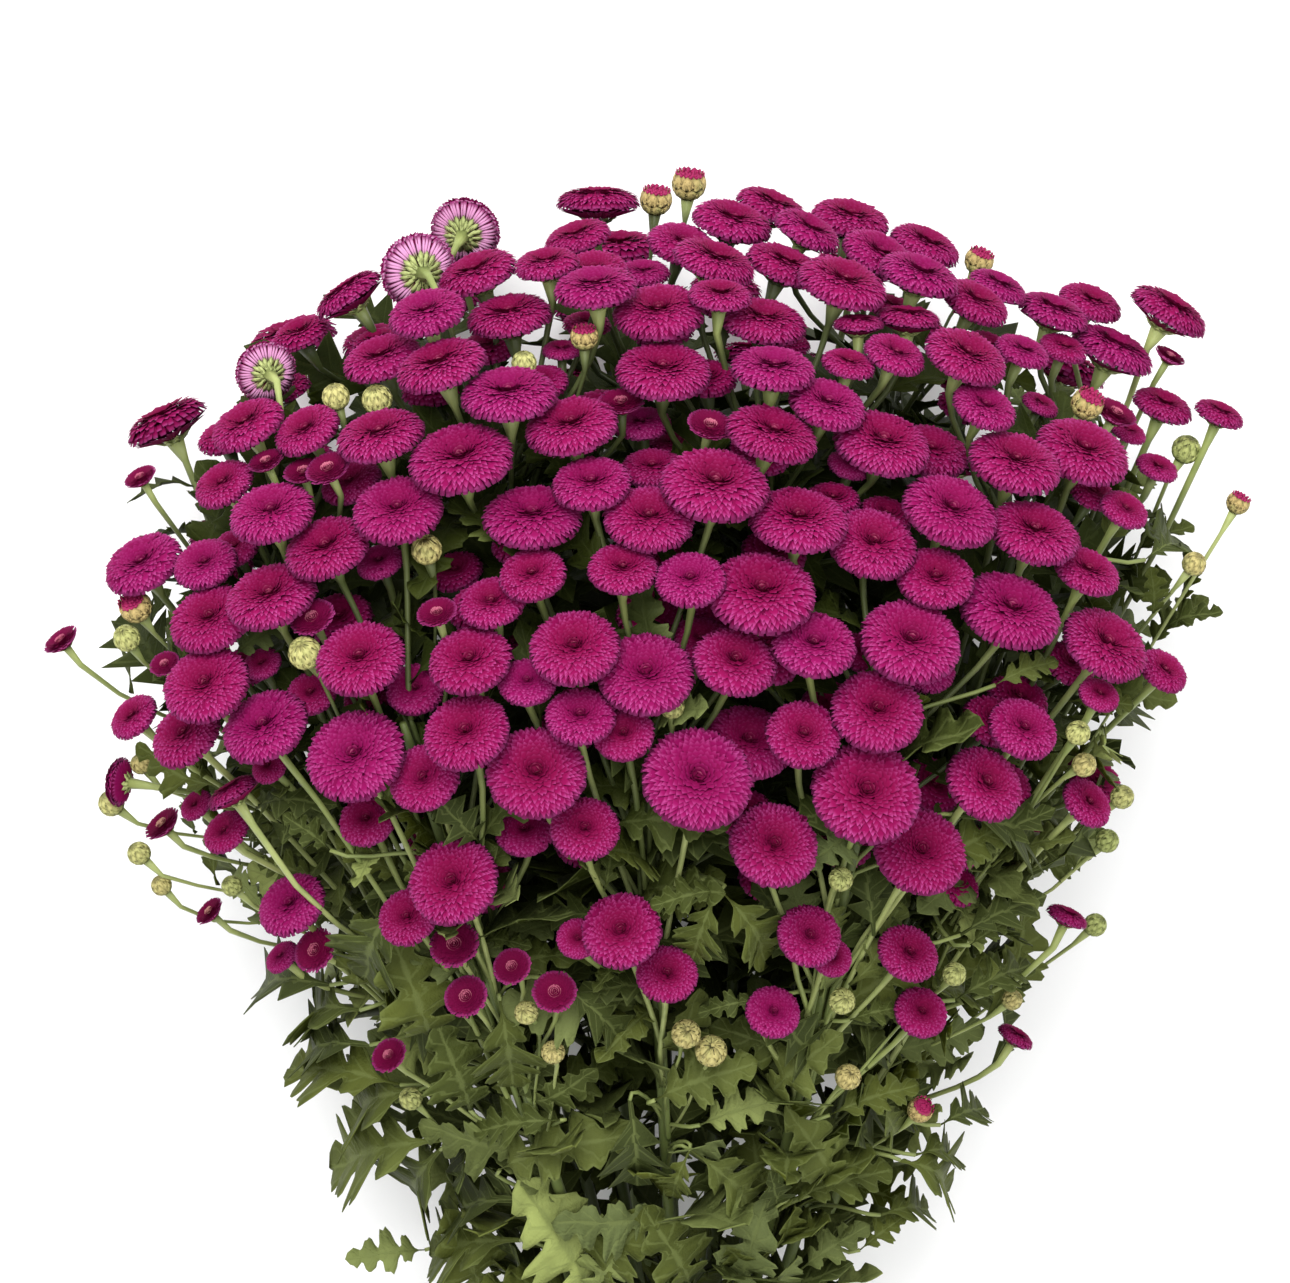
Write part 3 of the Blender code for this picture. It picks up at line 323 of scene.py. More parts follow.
def lie(points):
    """From the bunch's own frame to the frame it lies in."""
    cos, sin = math.cos(TIP_ANGLE), math.sin(TIP_ANGLE)
    y = points[..., 1] * cos - points[..., 2] * sin
    z = points[..., 1] * sin + points[..., 2] * cos + AXIS_HEIGHT
    return np.stack((points[..., 0], y, z), axis=-1)


FLOOR_UP = np.array((0.0, math.sin(TIP_ANGLE), math.cos(TIP_ANGLE)))


def back_places():
    """Places on the head's back, one golden angle after another from its middle outwards."""
    places = []
    for index in range(BACK_BLOOMS):
        spread = math.sqrt((index + 0.5) / BACK_BLOOMS)
        turn = index * GOLDEN_ANGLE
        across = BACK_HALF_WIDTH * spread * math.cos(turn)
        along = HEAD_MIDDLE + BACK_RISE + BACK_HALF_HEIGHT * spread * math.sin(turn)
        width = float(half_width(along))
        side = min(abs(across) / width, BACK_EDGE)
        out = -BACK_SHARE * width * math.sqrt(1 - side * side)
        places.append(np.array((across + axis_x(along), along, out)))
    return places


def stem_lines():
    """The point where the stems' lines meet below the band, and their directions."""
    meet = np.array((axis_x(-STEM_MEET), -STEM_MEET, 0.0))
    lean = -BAND_OFFSET / HEAD_MIDDLE
    ways = []
    for out, leans in STEM_ROWS:
        for across in leans:
            ways.append(unit(np.array((across + lean, 1.0, out))))
    return meet, np.array(ways)


MEET, WAYS = stem_lines()


def stem_axes(stem):
    """A stem's direction, and two directions square to it: across, and out of the bunch's front."""
    way = WAYS[stem]
    across = unit(np.array((1.0, 0.0, 0.0)) - way * way[0])
    return way, across, np.cross(across, way)


def cell_walls(stem):
    """Each wall between this stem's wedge of space and another's, as the wall's inward direction."""
    others = np.delete(WAYS, stem, axis=0)
    return unit(WAYS[stem] - others)


WALLS = [cell_walls(stem) for stem in range(len(WAYS))]


def line_gaps(points, starts, ends):
    """The distance of each point from each straight line between a start and an end."""
    length = ends - starts
    apart = points[:, None, :] - starts[None, :, :]
    share = np.einsum("ijk,jk->ij", apart, length) / np.maximum((length**2).sum(axis=1), 1e-12)
    nearest = np.clip(share, 0, 1)[:, :, None] * length
    return np.linalg.norm(apart - nearest, axis=2)


class Head:
    """Every bloom and bud of the bunch: where it is, which way it faces, its size and its stem."""

    def __init__(self):
        self.place, self.face, self.radius, self.kind, self.ray = [], [], [], [], []
        rng = np.random.default_rng(11)
        for table, kind, setback in (
            (FULL_BLOOMS, "full", 0.0),
            (DEEP_BLOOMS, "full", DEEP_SETBACK),
            (HALF_OPEN_BLOOMS, "half", 0.0),
            (BUDS, "bud", BUD_SETBACK),
        ):
            for column, row, millimetres in table:
                place = place_seen(column, row, setback)
                self.add(place, way_out(place, rng), millimetres, kind, sight_line(column, row))
        for column, row, millimetres, turn in TURNED_BLOOMS:
            place = place_seen(column, row, 0.0)
            face = unit(RIGHT * turn[0] + UP * turn[1] + NEAR * turn[2])
            kind = "pale" if turn[2] < PALE_FROM else "full"
            self.add(place, face, millimetres, kind, sight_line(column, row))
        for index, place in enumerate(back_places()):
            across = BACK_DIAMETERS[index % len(BACK_DIAMETERS)]
            self.add(place, way_out(place, rng), across * 1000, "full", -FLOOR_UP)
        self.place = np.array(self.place)
        self.face = np.array(self.face)
        self.radius = np.array(self.radius)
        self.ray = np.array(self.ray)
        self.stem = np.argmax(unit(self.place - MEET) @ WAYS.T, axis=1)
        self.branch = np.zeros(len(self.place), int)
        self.root = np.zeros((len(self.place), 3))
        self.walls = {}
        self.tops = []
        for stem in range(len(WAYS)):
            self.divide(stem)
        self.settle()
        self.tops = [self.clear_top(stem) for stem in range(len(WAYS))]
        self.rachis = {pair: self.branch_stem(*pair) for pair in self.walls if self.items_of(*pair).size}

    def add(self, place, face, millimetres, kind, ray):
        self.place.append(place)
        self.face.append(face)
        self.radius.append(millimetres / 2000)
        self.kind.append(kind)
        self.ray.append(ray)

    def thickness(self):
        """Half the thickness that each keeps clear: a bud is round."""
        share = np.where(np.array(self.kind) == "bud", 1.0, CLEAR_SHARE)
        return self.radius * share

    def seat(self, index):
        """Where the stalk's cup ends, a little way into the bloom or bud."""
        share = BUD_SEAT_SHARE if self.kind[index] == "bud" else BLOOM_HEIGHT_SHARE
        return self.place[index] - self.face[index] * self.radius[index] * share

    def cup(self, index):
        """The radius of the cup under a bloom or bud."""
        return self.radius[index] * (BUD_CUP_SHARE if self.kind[index] == "bud" else CUP_SHARE)

    def stalk(self, index):
        """The stalk's foot on its branch, its neck below the cup, and its seat at the cup's rim."""
        seat = self.seat(index)
        return self.root[index], seat - self.face[index] * CUP_DEPTH, seat

    def divide(self, stem):
        """Divides a stem's blooms and buds into branches, each a sector round the stem's line."""
        way, across, out = stem_axes(stem)
        items = np.nonzero(self.stem == stem)[0]
        from_meet = self.place[items] - MEET
        turns = np.arctan2(from_meet @ out, from_meet @ across) % math.tau
        best = None
        for first in range(BRANCH_CUTS // BRANCHES_A_STEM + 1):
            for second in range(first + 1, BRANCH_CUTS):
                for third in range(second + 1, BRANCH_CUTS):
                    cuts = np.array((first, second, third)) * math.tau / BRANCH_CUTS
                    widths = np.diff(np.append(cuts, cuts[0] + math.tau))
                    if widths.min() < BRANCH_SPANS[0] or widths.max() > BRANCH_SPANS[1]:
                        continue
                    sector = np.searchsorted(cuts, turns) % BRANCHES_A_STEM
                    counts = np.bincount(sector, minlength=BRANCHES_A_STEM)
                    near = np.abs((turns[:, None] - cuts + math.pi) % math.tau - math.pi).min()
                    score = (counts**2).sum() - CUT_WORTH * min(near, CUT_CLEAR)
                    if best is None or score < best[0]:
                        best = (score, cuts, widths, sector)
        _, cuts, widths, sector = best
        self.branch[items] = sector
        reaches = from_meet @ way
        asides = np.linalg.norm(from_meet - reaches[:, None] * way, axis=1)
        wanted = reaches - STALK_REACH - STALK_LEAN * asides
        offset = STEM_RADIUS + ROOT_GAP + RACHIS_HALF
        heights = np.zeros(len(items))
        for branch in range(BRANCHES_A_STEM):
            middle = cuts[branch - 1] + widths[branch - 1] / 2
            aims = [cuts[branch - 1] + math.pi / 2, cuts[branch] - math.pi / 2, middle]
            after, before, aim = (across * math.cos(turn) + out * math.sin(turn) for turn in aims)
            self.walls[stem, branch] = np.vstack((WALLS[stem], after, before))
            mine = np.nonzero(sector == branch)[0]
            height = 0.0
            for order, item in enumerate(mine[np.argsort(wanted[mine])]):
                if order == 0:
                    height = max(wanted[item], LOWEST_ROOT)
                else:
                    height += float(np.clip(wanted[item] - height, *ROOT_STEPS))
                heights[item] = height
                self.root[items[item]] = MEET + way * height + aim * offset
        self.tops.append(float(heights.max()) + TOP_ABOVE_ROOT)

    def settle(self):
        """Nudges the blooms apart, mostly along the sight lines, until each is clear of its neighbours."""
        count = len(self.place)
        thick = self.thickness()
        turn = np.arange(PROBES) * GOLDEN_ANGLE
        level = 1 - (np.arange(PROBES) + 0.5) / PROBES
        flat = np.sqrt(1 - level**2)
        probes = np.stack((flat * np.cos(turn), flat * np.sin(turn), level), axis=1)
        first, second = np.triu_indices(count, 1)
        for _ in range(ROUNDS):
            shift = np.zeros_like(self.place)
            tilt = self.face @ probes.T
            support = np.sqrt(self.radius[:, None] ** 2 * (1 - tilt**2) + thick[:, None] ** 2 * tilt**2)
            apart = self.place[second] - self.place[first]
            reach = self.radius[first] + self.radius[second] + NEIGHBOUR_MARGIN
            near = np.linalg.norm(apart, axis=1) < reach
            one, two = first[near], second[near]
            along = apart[near] @ probes.T
            gaps = np.abs(along) - support[one] - support[two]
            best = np.argmax(gaps, axis=1)
            rows = np.arange(len(one))
            gap = gaps[rows, best]
            push = probes[best] * np.sign(along[rows, best])[:, None]
            same = (self.stem[one] == self.stem[two]) & (self.branch[one] == self.branch[two])
            lack = np.where(same, -BLOOM_OVERLAP, BLOOM_CLEARANCE) - gap
            for index in np.nonzero(lack > 0)[0]:
                self.share(shift, one[index], two[index], push[index], lack[index])
            self.clear_stalks(shift, thick)
            self.keep_in_cells(shift)
            self.keep_off_floor(shift, thick)
            self.place = self.place + shift

    def items_of(self, stem, branch):
        return np.nonzero((self.stem == stem) & (self.branch == branch))[0]

    def branch_stem(self, stem, branch):
        """The ends of a branch's own thin stem, which starts beside the main one."""
        way = WAYS[stem]
        roots = self.root[self.items_of(stem, branch)]
        heights = (roots - MEET) @ way
        first, last = int(np.argmin(heights)), int(np.argmax(heights))
        down = max(RACHIS_ENDS[0], heights[first] - self.tops[stem] + RACHIS_LAP)
        return roots[first] - way * down, roots[last] + way * RACHIS_ENDS[1]

    def clear_top(self, stem):
        """The height up a stem's line at which it ends, below whatever comes near the line."""
        way = WAYS[stem]
        heights = np.arange(LOWEST_ROOT, self.tops[stem], TOP_STEP)
        points = MEET + way * heights[:, None]
        starts, ends, keeps = self.stalk_lines()
        near = (line_gaps(points, starts, ends) < keeps + STEM_TOP_CLEAR - STALK_RADIUS).any(axis=1)
        near |= (self.bloom_depths(points, STEM_RADIUS + STALK_CLEARANCE) < 1).any(axis=1)
        low = self.root[self.stem == stem] @ way - MEET @ way
        near &= heights > low.min()
        return float(heights[near].min()) - TOP_STEP if near.any() else self.tops[stem]

    def stalk_lines(self):
        """Every stalk as two straight lines, with the thickness of each."""
        starts, ends, keeps = [], [], []
        for index in range(len(self.place)):
            root, neck, seat = self.stalk(index)
            starts += [root, neck]
            ends += [neck, seat]
            keeps += [STALK_RADIUS, self.cup(index)]
        return np.array(starts), np.array(ends), np.array(keeps)

    def seen_from_blooms(self, points):
        """Each point as seen from each bloom or bud: its offset, how far in front and how far aside."""
        apart = points[:, None, :] - self.place[None, :, :]
        level = np.einsum("ijk,jk->ij", apart, self.face)
        flat = np.sqrt(np.maximum((apart**2).sum(axis=2) - level**2, 0))
        return apart, level, flat

    def bloom_depths(self, points, clear):
        """How far out in each bloom or bud each point is: under 1 where it is inside."""
        _, level, flat = self.seen_from_blooms(points)
        return np.hypot(flat / (self.radius + clear), level / (self.thickness() + clear))

    def ease(self, index):
        """How easily an item moves each way: best along the line it is seen along."""
        ray = self.ray[index]
        return EASE_ACROSS * np.eye(3) + EASE_ALONG * np.outer(ray, ray)

    def share(self, shift, one, two, push, amount):
        """Moves two items apart by an amount along a direction, each in the way that it moves best."""
        ease_one, ease_two = self.ease(one), self.ease(two)
        give = push @ ease_one @ push + push @ ease_two @ push
        step = 0.5 * amount / give
        step = np.sign(step) * min(abs(step), MOST_STEP)
        shift[one] -= ease_one @ push * step
        shift[two] += ease_two @ push * step

    def clear_stalks(self, shift, thick):
        """Keeps each bloom and bud off the other items' stalks and cups."""
        shares = np.array(STALK_PROBES)
        for index in range(len(self.place)):
            branch, neck, seat = self.stalk(index)
            points = branch + (neck - branch) * shares[:, None]
            cup = self.cup(index)
            rim = seat - self.face[index] * CUP_PROBE_DEPTH
            points = np.vstack((points, neck + (seat - neck) * 0.5, rim))
            thickness = np.append(np.full(len(shares), STALK_RADIUS), (cup * CUP_PROBE_SHARE, cup))
            apart, level, flat = self.seen_from_blooms(points)
            wide = self.radius[None, :] + thickness[:, None] + STALK_CLEARANCE
            deep = thick[None, :] + thickness[:, None] + STALK_CLEARANCE
            inside = np.hypot(flat / wide, level / deep)
            inside[:, index] = FAR_OFF
            for row, other in zip(*np.nonzero(inside < 1)):
                away = apart[row, other]
                reach = np.linalg.norm(away)
                flatness = 1 / deep[row, other] ** 2 - 1 / wide[row, other] ** 2
                slope = away / wide[row, other] ** 2 + self.face[other] * level[row, other] * flatness
                push = unit(slope)
                amount = (1 / max(inside[row, other], DEEPEST_PROBE) - 1) * reach * abs(push @ away) / reach
                self.share(shift, other, index, push, min(amount, MOST_STALK_STEP))

    def keep_in_cells(self, shift):
        """Keeps each stalk in its own stem's wedge, so that stalks of two stems never cross."""
        for index, stem in enumerate(self.stem):
            walls = self.walls[stem, self.branch[index]]
            _, neck, seat = self.stalk(index)
            for point in (neck, seat):
                inside = (point - MEET) @ walls.T
                wall = int(np.argmin(inside))
                if inside[wall] < CELL_MARGIN:
                    shift[index] += walls[wall] * (CELL_MARGIN - inside[wall]) * CELL_PULL

    def keep_off_floor(self, shift, thick):
        """Lifts what would go deeper into the surface that the bunch lies on than it is pressed."""
        tilt = self.face @ FLOOR_UP
        low = np.sqrt(self.radius**2 * (1 - tilt**2) + thick**2 * tilt**2)
        height = lie(self.place)[:, 2] - low
        lift = np.maximum(-PRESSED - height, 0)
        shift += lift[:, None] * FLOOR_UP * FLOOR_LIFT


def turn_to(direction, place):
    """A matrix that takes +Z to a direction and the origin to a place."""
    turn = Vector(direction).to_track_quat("Z", "Y").to_matrix().to_4x4()
    return Matrix.Translation(Vector(place)) @ turn


def leaf_frame(place, way, face):
    """A matrix that puts a leaf's foot at a place, its blade along a way and its upper side to a face."""
    way = Vector(way).normalized()
    side = Vector(face).cross(way).normalized()
    face = way.cross(side)
    return Matrix.Translation(Vector(place)) @ Matrix((way, side, face)).transposed().to_4x4()


def round_way(turn):
    """The way out from the middle at a turn, square to +Z."""
    return np.array((math.cos(turn), math.sin(turn), 0.0))


def risen(radial, angle):
    """The way along a floret that rises by an angle, and the way out of its upper face."""
    up = np.array((0.0, 0.0, 1.0))
    return radial * math.cos(angle) + up * math.sin(angle), up * math.cos(angle) - radial * math.sin(angle)


def leaf_points(frame, length, width):
    """Points spread closely over a leaf's blade, for testing what it touches."""
    points = []
    rows = round(length / LEAF_SAMPLE)
    for row in range(1, rows + 1):
        along = row / rows
        half = 0.5 * min(1.0, along / LEAF_SHOULDER, (LEAF_TAPER_END - along) / LEAF_TAPER) * width
        columns = max(1, math.ceil(half / LEAF_SAMPLE))
        for column in range(-columns, columns + 1):
            aside = column / columns
            hang = -LEAF_HANG * length * abs(aside)
            points.append(frame @ Vector((along * length, aside * half, hang)))
    return np.array(points)


def stem_spans(head):
    """Both ends of every main stem: where the stems' lines meet, and its top."""
    starts = np.repeat(MEET[None, :], len(WAYS), axis=0)
    return starts, MEET + WAYS * np.array(head.tops)[:, None]


class Foliage:
    """Finds a place for each leaf where it touches nothing but its own stem."""

    def __init__(self, head):
        self.head = head
        starts, ends, keeps = head.stalk_lines()
        branches = np.array(list(head.rachis.values()))
        self.starts = np.vstack((starts, branches[:, 0]))
        self.ends = np.vstack((ends, branches[:, 1]))
        self.keeps = np.append(keeps, np.full(len(branches), RACHIS_HALF)) + LEAF_MARGIN
        self.stem_starts, self.stem_ends = stem_spans(head)
        self.taken = np.zeros((0, 3))

    def fits(self, points, stem):
        """Whether a leaf with these points keeps off the flowers, other stems, leaves and the floor."""
        drawn_in = points - (0, 0, 1) * np.clip(points[:, 2:], 0, LEAF_FORWARD)
        if lie(points)[:, 2].min() < LEAF_MARGIN or outside_head(drawn_in).max() > LEAF_BEYOND:
            return False
        stem_gaps = np.delete(line_gaps(points, self.stem_starts, self.stem_ends), stem, axis=1)
        if stem_gaps.min() < STEM_RADIUS + LEAF_MARGIN:
            return False
        if (line_gaps(points, self.starts, self.ends) < self.keeps).any():
            return False
        if (self.head.bloom_depths(points, STALK_CLEARANCE) < 1).any():
            return False
        if len(self.taken):
            gaps = np.linalg.norm(points[:, None, :] - self.taken[None, :, :], axis=2)
            if gaps.min() < LEAF_APART:
                return False
        return True

    def grow(self):
        """Leaves of every stem, in rounds from the lowest up, each a golden turn on from the last."""
        found = [[] for _ in WAYS]
        reaches = [LEAF_LOWEST] * len(WAYS)
        numbers = list(range(len(WAYS)))
        middle = WAYS.mean(axis=0)
        growing = True
        while growing:
            growing = False
            for stem, way in enumerate(WAYS):
                if reaches[stem] > self.head.tops[stem] or len(found[stem]) >= LEAVES_A_STEM:
                    continue
                growing = True
                _, across, out = stem_axes(stem)
                outward = unit(way - middle + 0.001)
                turn = numbers[stem] * GOLDEN_ANGLE
                sideways = across * math.cos(turn) + out * math.sin(turn)
                sideways = unit(sideways + LEAF_OUTWARD * (outward - way * (outward @ way)))
                numbers[stem] += 1
                for degrees, length in LEAF_TRIES:
                    lean = math.radians(degrees)
                    blade = way * math.cos(lean) + sideways * math.sin(lean)
                    face = way * math.sin(lean) - sideways * math.cos(lean)
                    foot = MEET + way * reaches[stem] + sideways * STEM_RADIUS * LEAF_FOOT_SHARE
                    frame = leaf_frame(foot, blade, face)
                    points = leaf_points(frame, length, length * LEAF_WIDTH_SHARE)
                    if self.fits(points, stem):
                        found[stem].append((frame, length))
                        self.taken = np.vstack((self.taken, points))
                        reaches[stem] += LEAF_STEP
                        break
                else:
                    reaches[stem] += LEAF_STEP / 3
        return found


# Where the band's middle lies in the bunch's own frame, which sets the bunch over its solids.
BAND_MIDDLE = (BAND_OFFSET, -0.008, 0.00125)
# How deep in the bunch the painted shade on the green begins, and where it is darkest.
LEAST_SHADED_DEPTH, MOST_SHADED_DEPTH = 0.012, 0.060
# From here up to the head's middle the painted shade begins sooner and sooner, by these shares.
HEAD_SHADE_FROM = 0.31
HEAD_LEAST_SHARE, HEAD_MOST_SHARE = 0.25, 0.50


@functools.cache
def the_head():
    return Head()


@functools.cache
def the_leaves():
    return Foliage(the_head()).grow()


@functools.cache
def laid_down():
    """The matrix that takes the bunch's own frame onto its solids."""
    tip = Matrix.Translation((0, 0, AXIS_HEIGHT)) @ Matrix.Rotation(TIP_ANGLE, 4, "X")
    low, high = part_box("band")
    aside = (low + high) / 2 - tip @ Vector(BAND_MIDDLE)
    return Matrix.Translation((aside.x, aside.y, 0)) @ tip


def new_piece(name, bm, materials, smooth=True):
    """Lays a finished bmesh down with the bunch and makes it an object at the origin."""
    bm.transform(laid_down())
    turn_domes(bm, bm.verts, laid_down())
    mesh = bpy.data.meshes.new(name)
    bm.to_mesh(mesh)
    bm.free()
    for material in materials:
        mesh.materials.append(material)
    if smooth:
        mesh.shade_smooth()
    piece = bpy.data.objects.new(name, mesh)
    bpy.context.scene.collection.objects.link(piece)
    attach(piece, "root")
    return piece


def mark_depth_for_painted_shade(bm):
    """Marks how deep in the bunch each corner is, for the painted shade there: 0 near its surface, 1 far
    inside.
    """
    layer = bm.verts.layers.float["deep"]
    corners = np.array([vert.co for vert in bm.verts])
    depth = -outside_head(corners)
    risen = np.clip((corners[:, 1] - HEAD_SHADE_FROM) / (HEAD_MIDDLE - HEAD_SHADE_FROM), 0, 1)
    least = LEAST_SHADED_DEPTH * (1 - risen * (1 - HEAD_LEAST_SHARE))
    most = MOST_SHADED_DEPTH * (1 - risen * (1 - HEAD_MOST_SHARE))
    shares = np.clip((depth - least) / (most - least), 0, 1)
    for vert, share in zip(bm.verts, shares):
        vert[layer] = share


def template(bm, name):
    mesh = bpy.data.meshes.new(name)
    bm.to_mesh(mesh)
    bm.free()
    return mesh


def turn_domes(bm, corners, matrix):
    """Turns the direction that the corners hold for a bloom's smooth dome, where there is one."""
    dome = bm.verts.layers.float_vector.get("dome")
    if dome is not None:
        turn = matrix.to_3x3().normalized()
        for vert in corners:
            vert[dome] = turn @ vert[dome]


def put(bm, mesh, matrix, slot=0, **marks):
    """Adds a copy of a shape, turned and placed by a matrix, and marks all its corners."""
    corners, faces = len(bm.verts), len(bm.faces)
    bm.from_mesh(mesh)
    bm.verts.ensure_lookup_table()
    bm.faces.ensure_lookup_table()
    added = bm.verts[corners:]
    for vert in added:
        vert.co = matrix @ vert.co
    turn_domes(bm, added, matrix)
    for name, value in marks.items():
        layers = bm.verts.layers.float_vector if name == "dome" else bm.verts.layers.float
        layer = layers[name]
        for vert in added:
            vert[layer] = value
    if slot:
        for face in bm.faces[faces:]:
            face.material_index = slot


def marked(*names):
    """A new bmesh with a number of each name at every corner, and a direction for the name dome."""
    bm = bmesh.new()
    for name in names:
        layers = bm.verts.layers.float_vector if name == "dome" else bm.verts.layers.float
        layers.new(name)
    return bm


# Deeper blooms, which fill the head between and behind those of the tables: how many are tried and at
# most kept, where in the picture, how far behind the head's surface, their radii, and how clear they keep.
DEEPER_TRIES, DEEPER_MOST = 5000, 64
DEEPER_COLUMNS, DEEPER_ROWS = (215, 1105), (300, 890)
DEEPER_SETBACKS = (0.016, 0.055)
DEEPER_INSIDE = 0.012
DEEPER_RADII = (0.0085, 0.0120)
DEEPER_CLEAR = 0.0006
# The ball of points that stands for one in the tests: corners round, and each ring's share and height.
DEEPER_PROBES = 10
DEEPER_RINGS = ((1.0, 0.0), (0.7, 0.32), (0.7, -0.32), (0.35, 0.0))
# What grows from a main stem without a branch leaves it this far below its top.
ROOT_BELOW_TOP = 0.004


@functools.cache
def deeper_blooms():
    """Each deeper bloom's place, face, radius and stem, and where its stalk leaves the stem."""
    head = the_head()
    rng = np.random.default_rng(31)
    starts, ends, _ = head.stalk_lines()
    turns = np.arange(DEEPER_PROBES) * math.tau / DEEPER_PROBES
    ring = np.stack((np.cos(turns), np.sin(turns), 0 * turns), axis=1)
    ball = np.vstack([share * ring + (0, 0, height) for share, height in DEEPER_RINGS] + [(0, 0, 0)])
    found, taken = [], np.zeros((0, 4))
    for _ in range(DEEPER_TRIES):
        column, row = rng.uniform(*DEEPER_COLUMNS), rng.uniform(*DEEPER_ROWS)
        place = place_seen(column, row, rng.uniform(*DEEPER_SETBACKS))
        radius = rng.uniform(*DEEPER_RADII)
        face = way_out(place, rng)
        if len(found) >= DEEPER_MOST or outside_head(place) > -DEEPER_INSIDE:
            continue
        if (np.linalg.norm(taken[:, :3] - place, axis=1) < taken[:, 3] + radius).any():
            continue
        turn = np.array(turn_to(face, (0, 0, 0)).to_3x3())
        points = place + ball @ turn.T * radius
        if (head.bloom_depths(points, DEEPER_CLEAR) < 1).any():
            continue
        if line_gaps(points, starts, ends).min() < STALK_RADIUS + DEEPER_CLEAR:
            continue
        stem = int(np.argmax(unit(place - MEET) @ WAYS.T))
        reach = min((place - MEET) @ WAYS[stem] - STALK_REACH, head.tops[stem] - ROOT_BELOW_TOP)
        found.append((place, face, radius, stem, MEET + WAYS[stem] * reach))
        taken = np.vstack((taken, (*place, radius)))
    return found


# The outlines of a floret, scale or bract: its number of corners and those of one side from foot to tip,
# as shares of its length and width.
ROUND_TIP = (5, ((0.0, 0.0), (0.50, 0.44), (0.98, 0.30)))
PLAIN = (4, ((0.0, 0.0), (0.72, 0.5), (1.0, 0.0)))
POINTED = (8, ((0.0, 0.0), (0.22, 0.42), (0.52, 0.46), (0.80, 0.26), (1.0, 0.0)))
# Where along a petal its middle corners lie, and where the widest corners of a wedge lie.
PETAL_MIDDLE, WEDGE_WIDEST = 0.6, 0.68


def petal_shape(name, outline, cup, bend, thick):
    """A closed petal along +X, of unit length and width, its edges raised by cup and its tip by bend."""
    bm = marked("along", "under")
    along = bm.verts.layers.float["along"]
    under = bm.verts.layers.float["under"]
    corners, side = outline
    bmesh.ops.create_uvsphere(bm, u_segments=corners, v_segments=2, radius=1)
    for vert in bm.verts:
        if math.hypot(vert.co.x, vert.co.y) < 0.1:
            lower = vert.co.z < 0
            share = PETAL_MIDDLE
            vert.co = Vector((share, 0, bend * share**2 - (thick if lower else 0)))
            vert[under] = 1.0 if lower else 0.0
        else:
            turn = math.atan2(vert.co.x, vert.co.y)
            share, aside = side[round(abs(turn) / math.tau * corners)]
            lift = cup * (aside / 0.5) ** 2
            vert.co = Vector((share, math.copysign(aside, turn), bend * share**2 + lift))
            vert[under] = 0.5
        vert[along] = share
    for face in bm.faces:
        face.smooth = True
    bmesh.ops.recalc_face_normals(bm, faces=bm.faces)
    return template(bm, name)


def wedge_shape(name, cup, bend):
    """A closed petal like the others, but with only four faces, for the inner florets."""
    bm = marked("along", "under")
    along = bm.verts.layers.float["along"]
    bmesh.ops.create_cone(bm, cap_ends=True, segments=3, radius1=1, radius2=0, depth=1)
    bmesh.ops.triangulate(bm, faces=bm.faces[:])
    for vert in bm.verts:
        share, aside = WEDGE_WIDEST, 0.5
        if vert.co.z > 0:
            share, aside = 1.0, 0.0
        elif abs(vert.co.x) < 0.1:
            share, aside = 0.0, 0.0
        vert.co = Vector((share, math.copysign(aside, vert.co.x), bend * share**2 + (cup if aside else 0)))
        vert[along] = share
    bmesh.ops.recalc_face_normals(bm, faces=bm.faces)
    return template(bm, name)


# The rows of florets of a bloom, from its rim to its middle: how far out and how high the tips stand, how
# steeply they rise in degrees, and how long they are, as shares of the radius. None is from the cup.
FULL_ROWS = (
    (0.95, 0.27, None, None),
    (0.985, 0.31, -46, 0.44),
    (1.00, 0.37, -38, 0.45),
    (0.99, 0.435, -30, 0.45),
    (0.965, 0.50, -21, 0.44),
    (0.925, 0.56, -12, 0.42),
    (0.87, 0.612, -5, 0.40),
    (0.805, 0.655, 1, 0.38),
    (0.735, 0.692, 7, 0.36),
    (0.66, 0.722, 13, 0.33),
    (0.58, 0.745, 19, 0.31),
    (0.50, 0.76, 26, 0.28),
    (0.42, 0.765, 33, 0.26),
    (0.34, 0.755, 42, 0.23),
    (0.265, 0.735, 52, 0.20),
    (0.19, 0.70, 66, 0.17),
    (0.12, 0.655, 78, 0.15),
    (0.05, 0.62, 88, 0.12),
)
HALF_OPEN_ROWS = (
    (1.00, 0.56, None, None),
    (0.97, 0.60, 30, 0.45),
    (0.89, 0.625, 27, 0.42),
    (0.80, 0.645, 30, 0.38),
    (0.70, 0.655, 34, 0.34),
    (0.60, 0.66, 38, 0.30),
    (0.50, 0.655, 44, 0.26),
    (0.40, 0.64, 52, 0.22),
)
BUTTON_ROWS = (
    (0.30, 0.65, 62, 0.16),
    (0.21, 0.675, 68, 0.16),
    (0.12, 0.69, 76, 0.16),
    (0.03, 0.695, 88, 0.16),
)
BLOOM_MARKS = ("along", "under", "tone", "row", "button", "dome")
# How much a bloom's florets are shaded like one smooth dome.
DOME_SHARE = 1.3
# The rows whose florets have round tips, and those of a bloom that is also seen from behind.
ROUND_ROWS, ROUND_BACK_ROWS = (1, 2), (0, 1)

# The body under the florets: its width, the height of its middle, how far it reaches above and below that,
# and the depth and width of the hollow in its top.
CORE_WIDTH, CORE_MIDDLE = 0.82, 0.37
CORE_ABOVE, CORE_BELOW = 0.28, 0.16
HOLLOW_DEPTH, HOLLOW_WIDTH = 0.14, 0.6
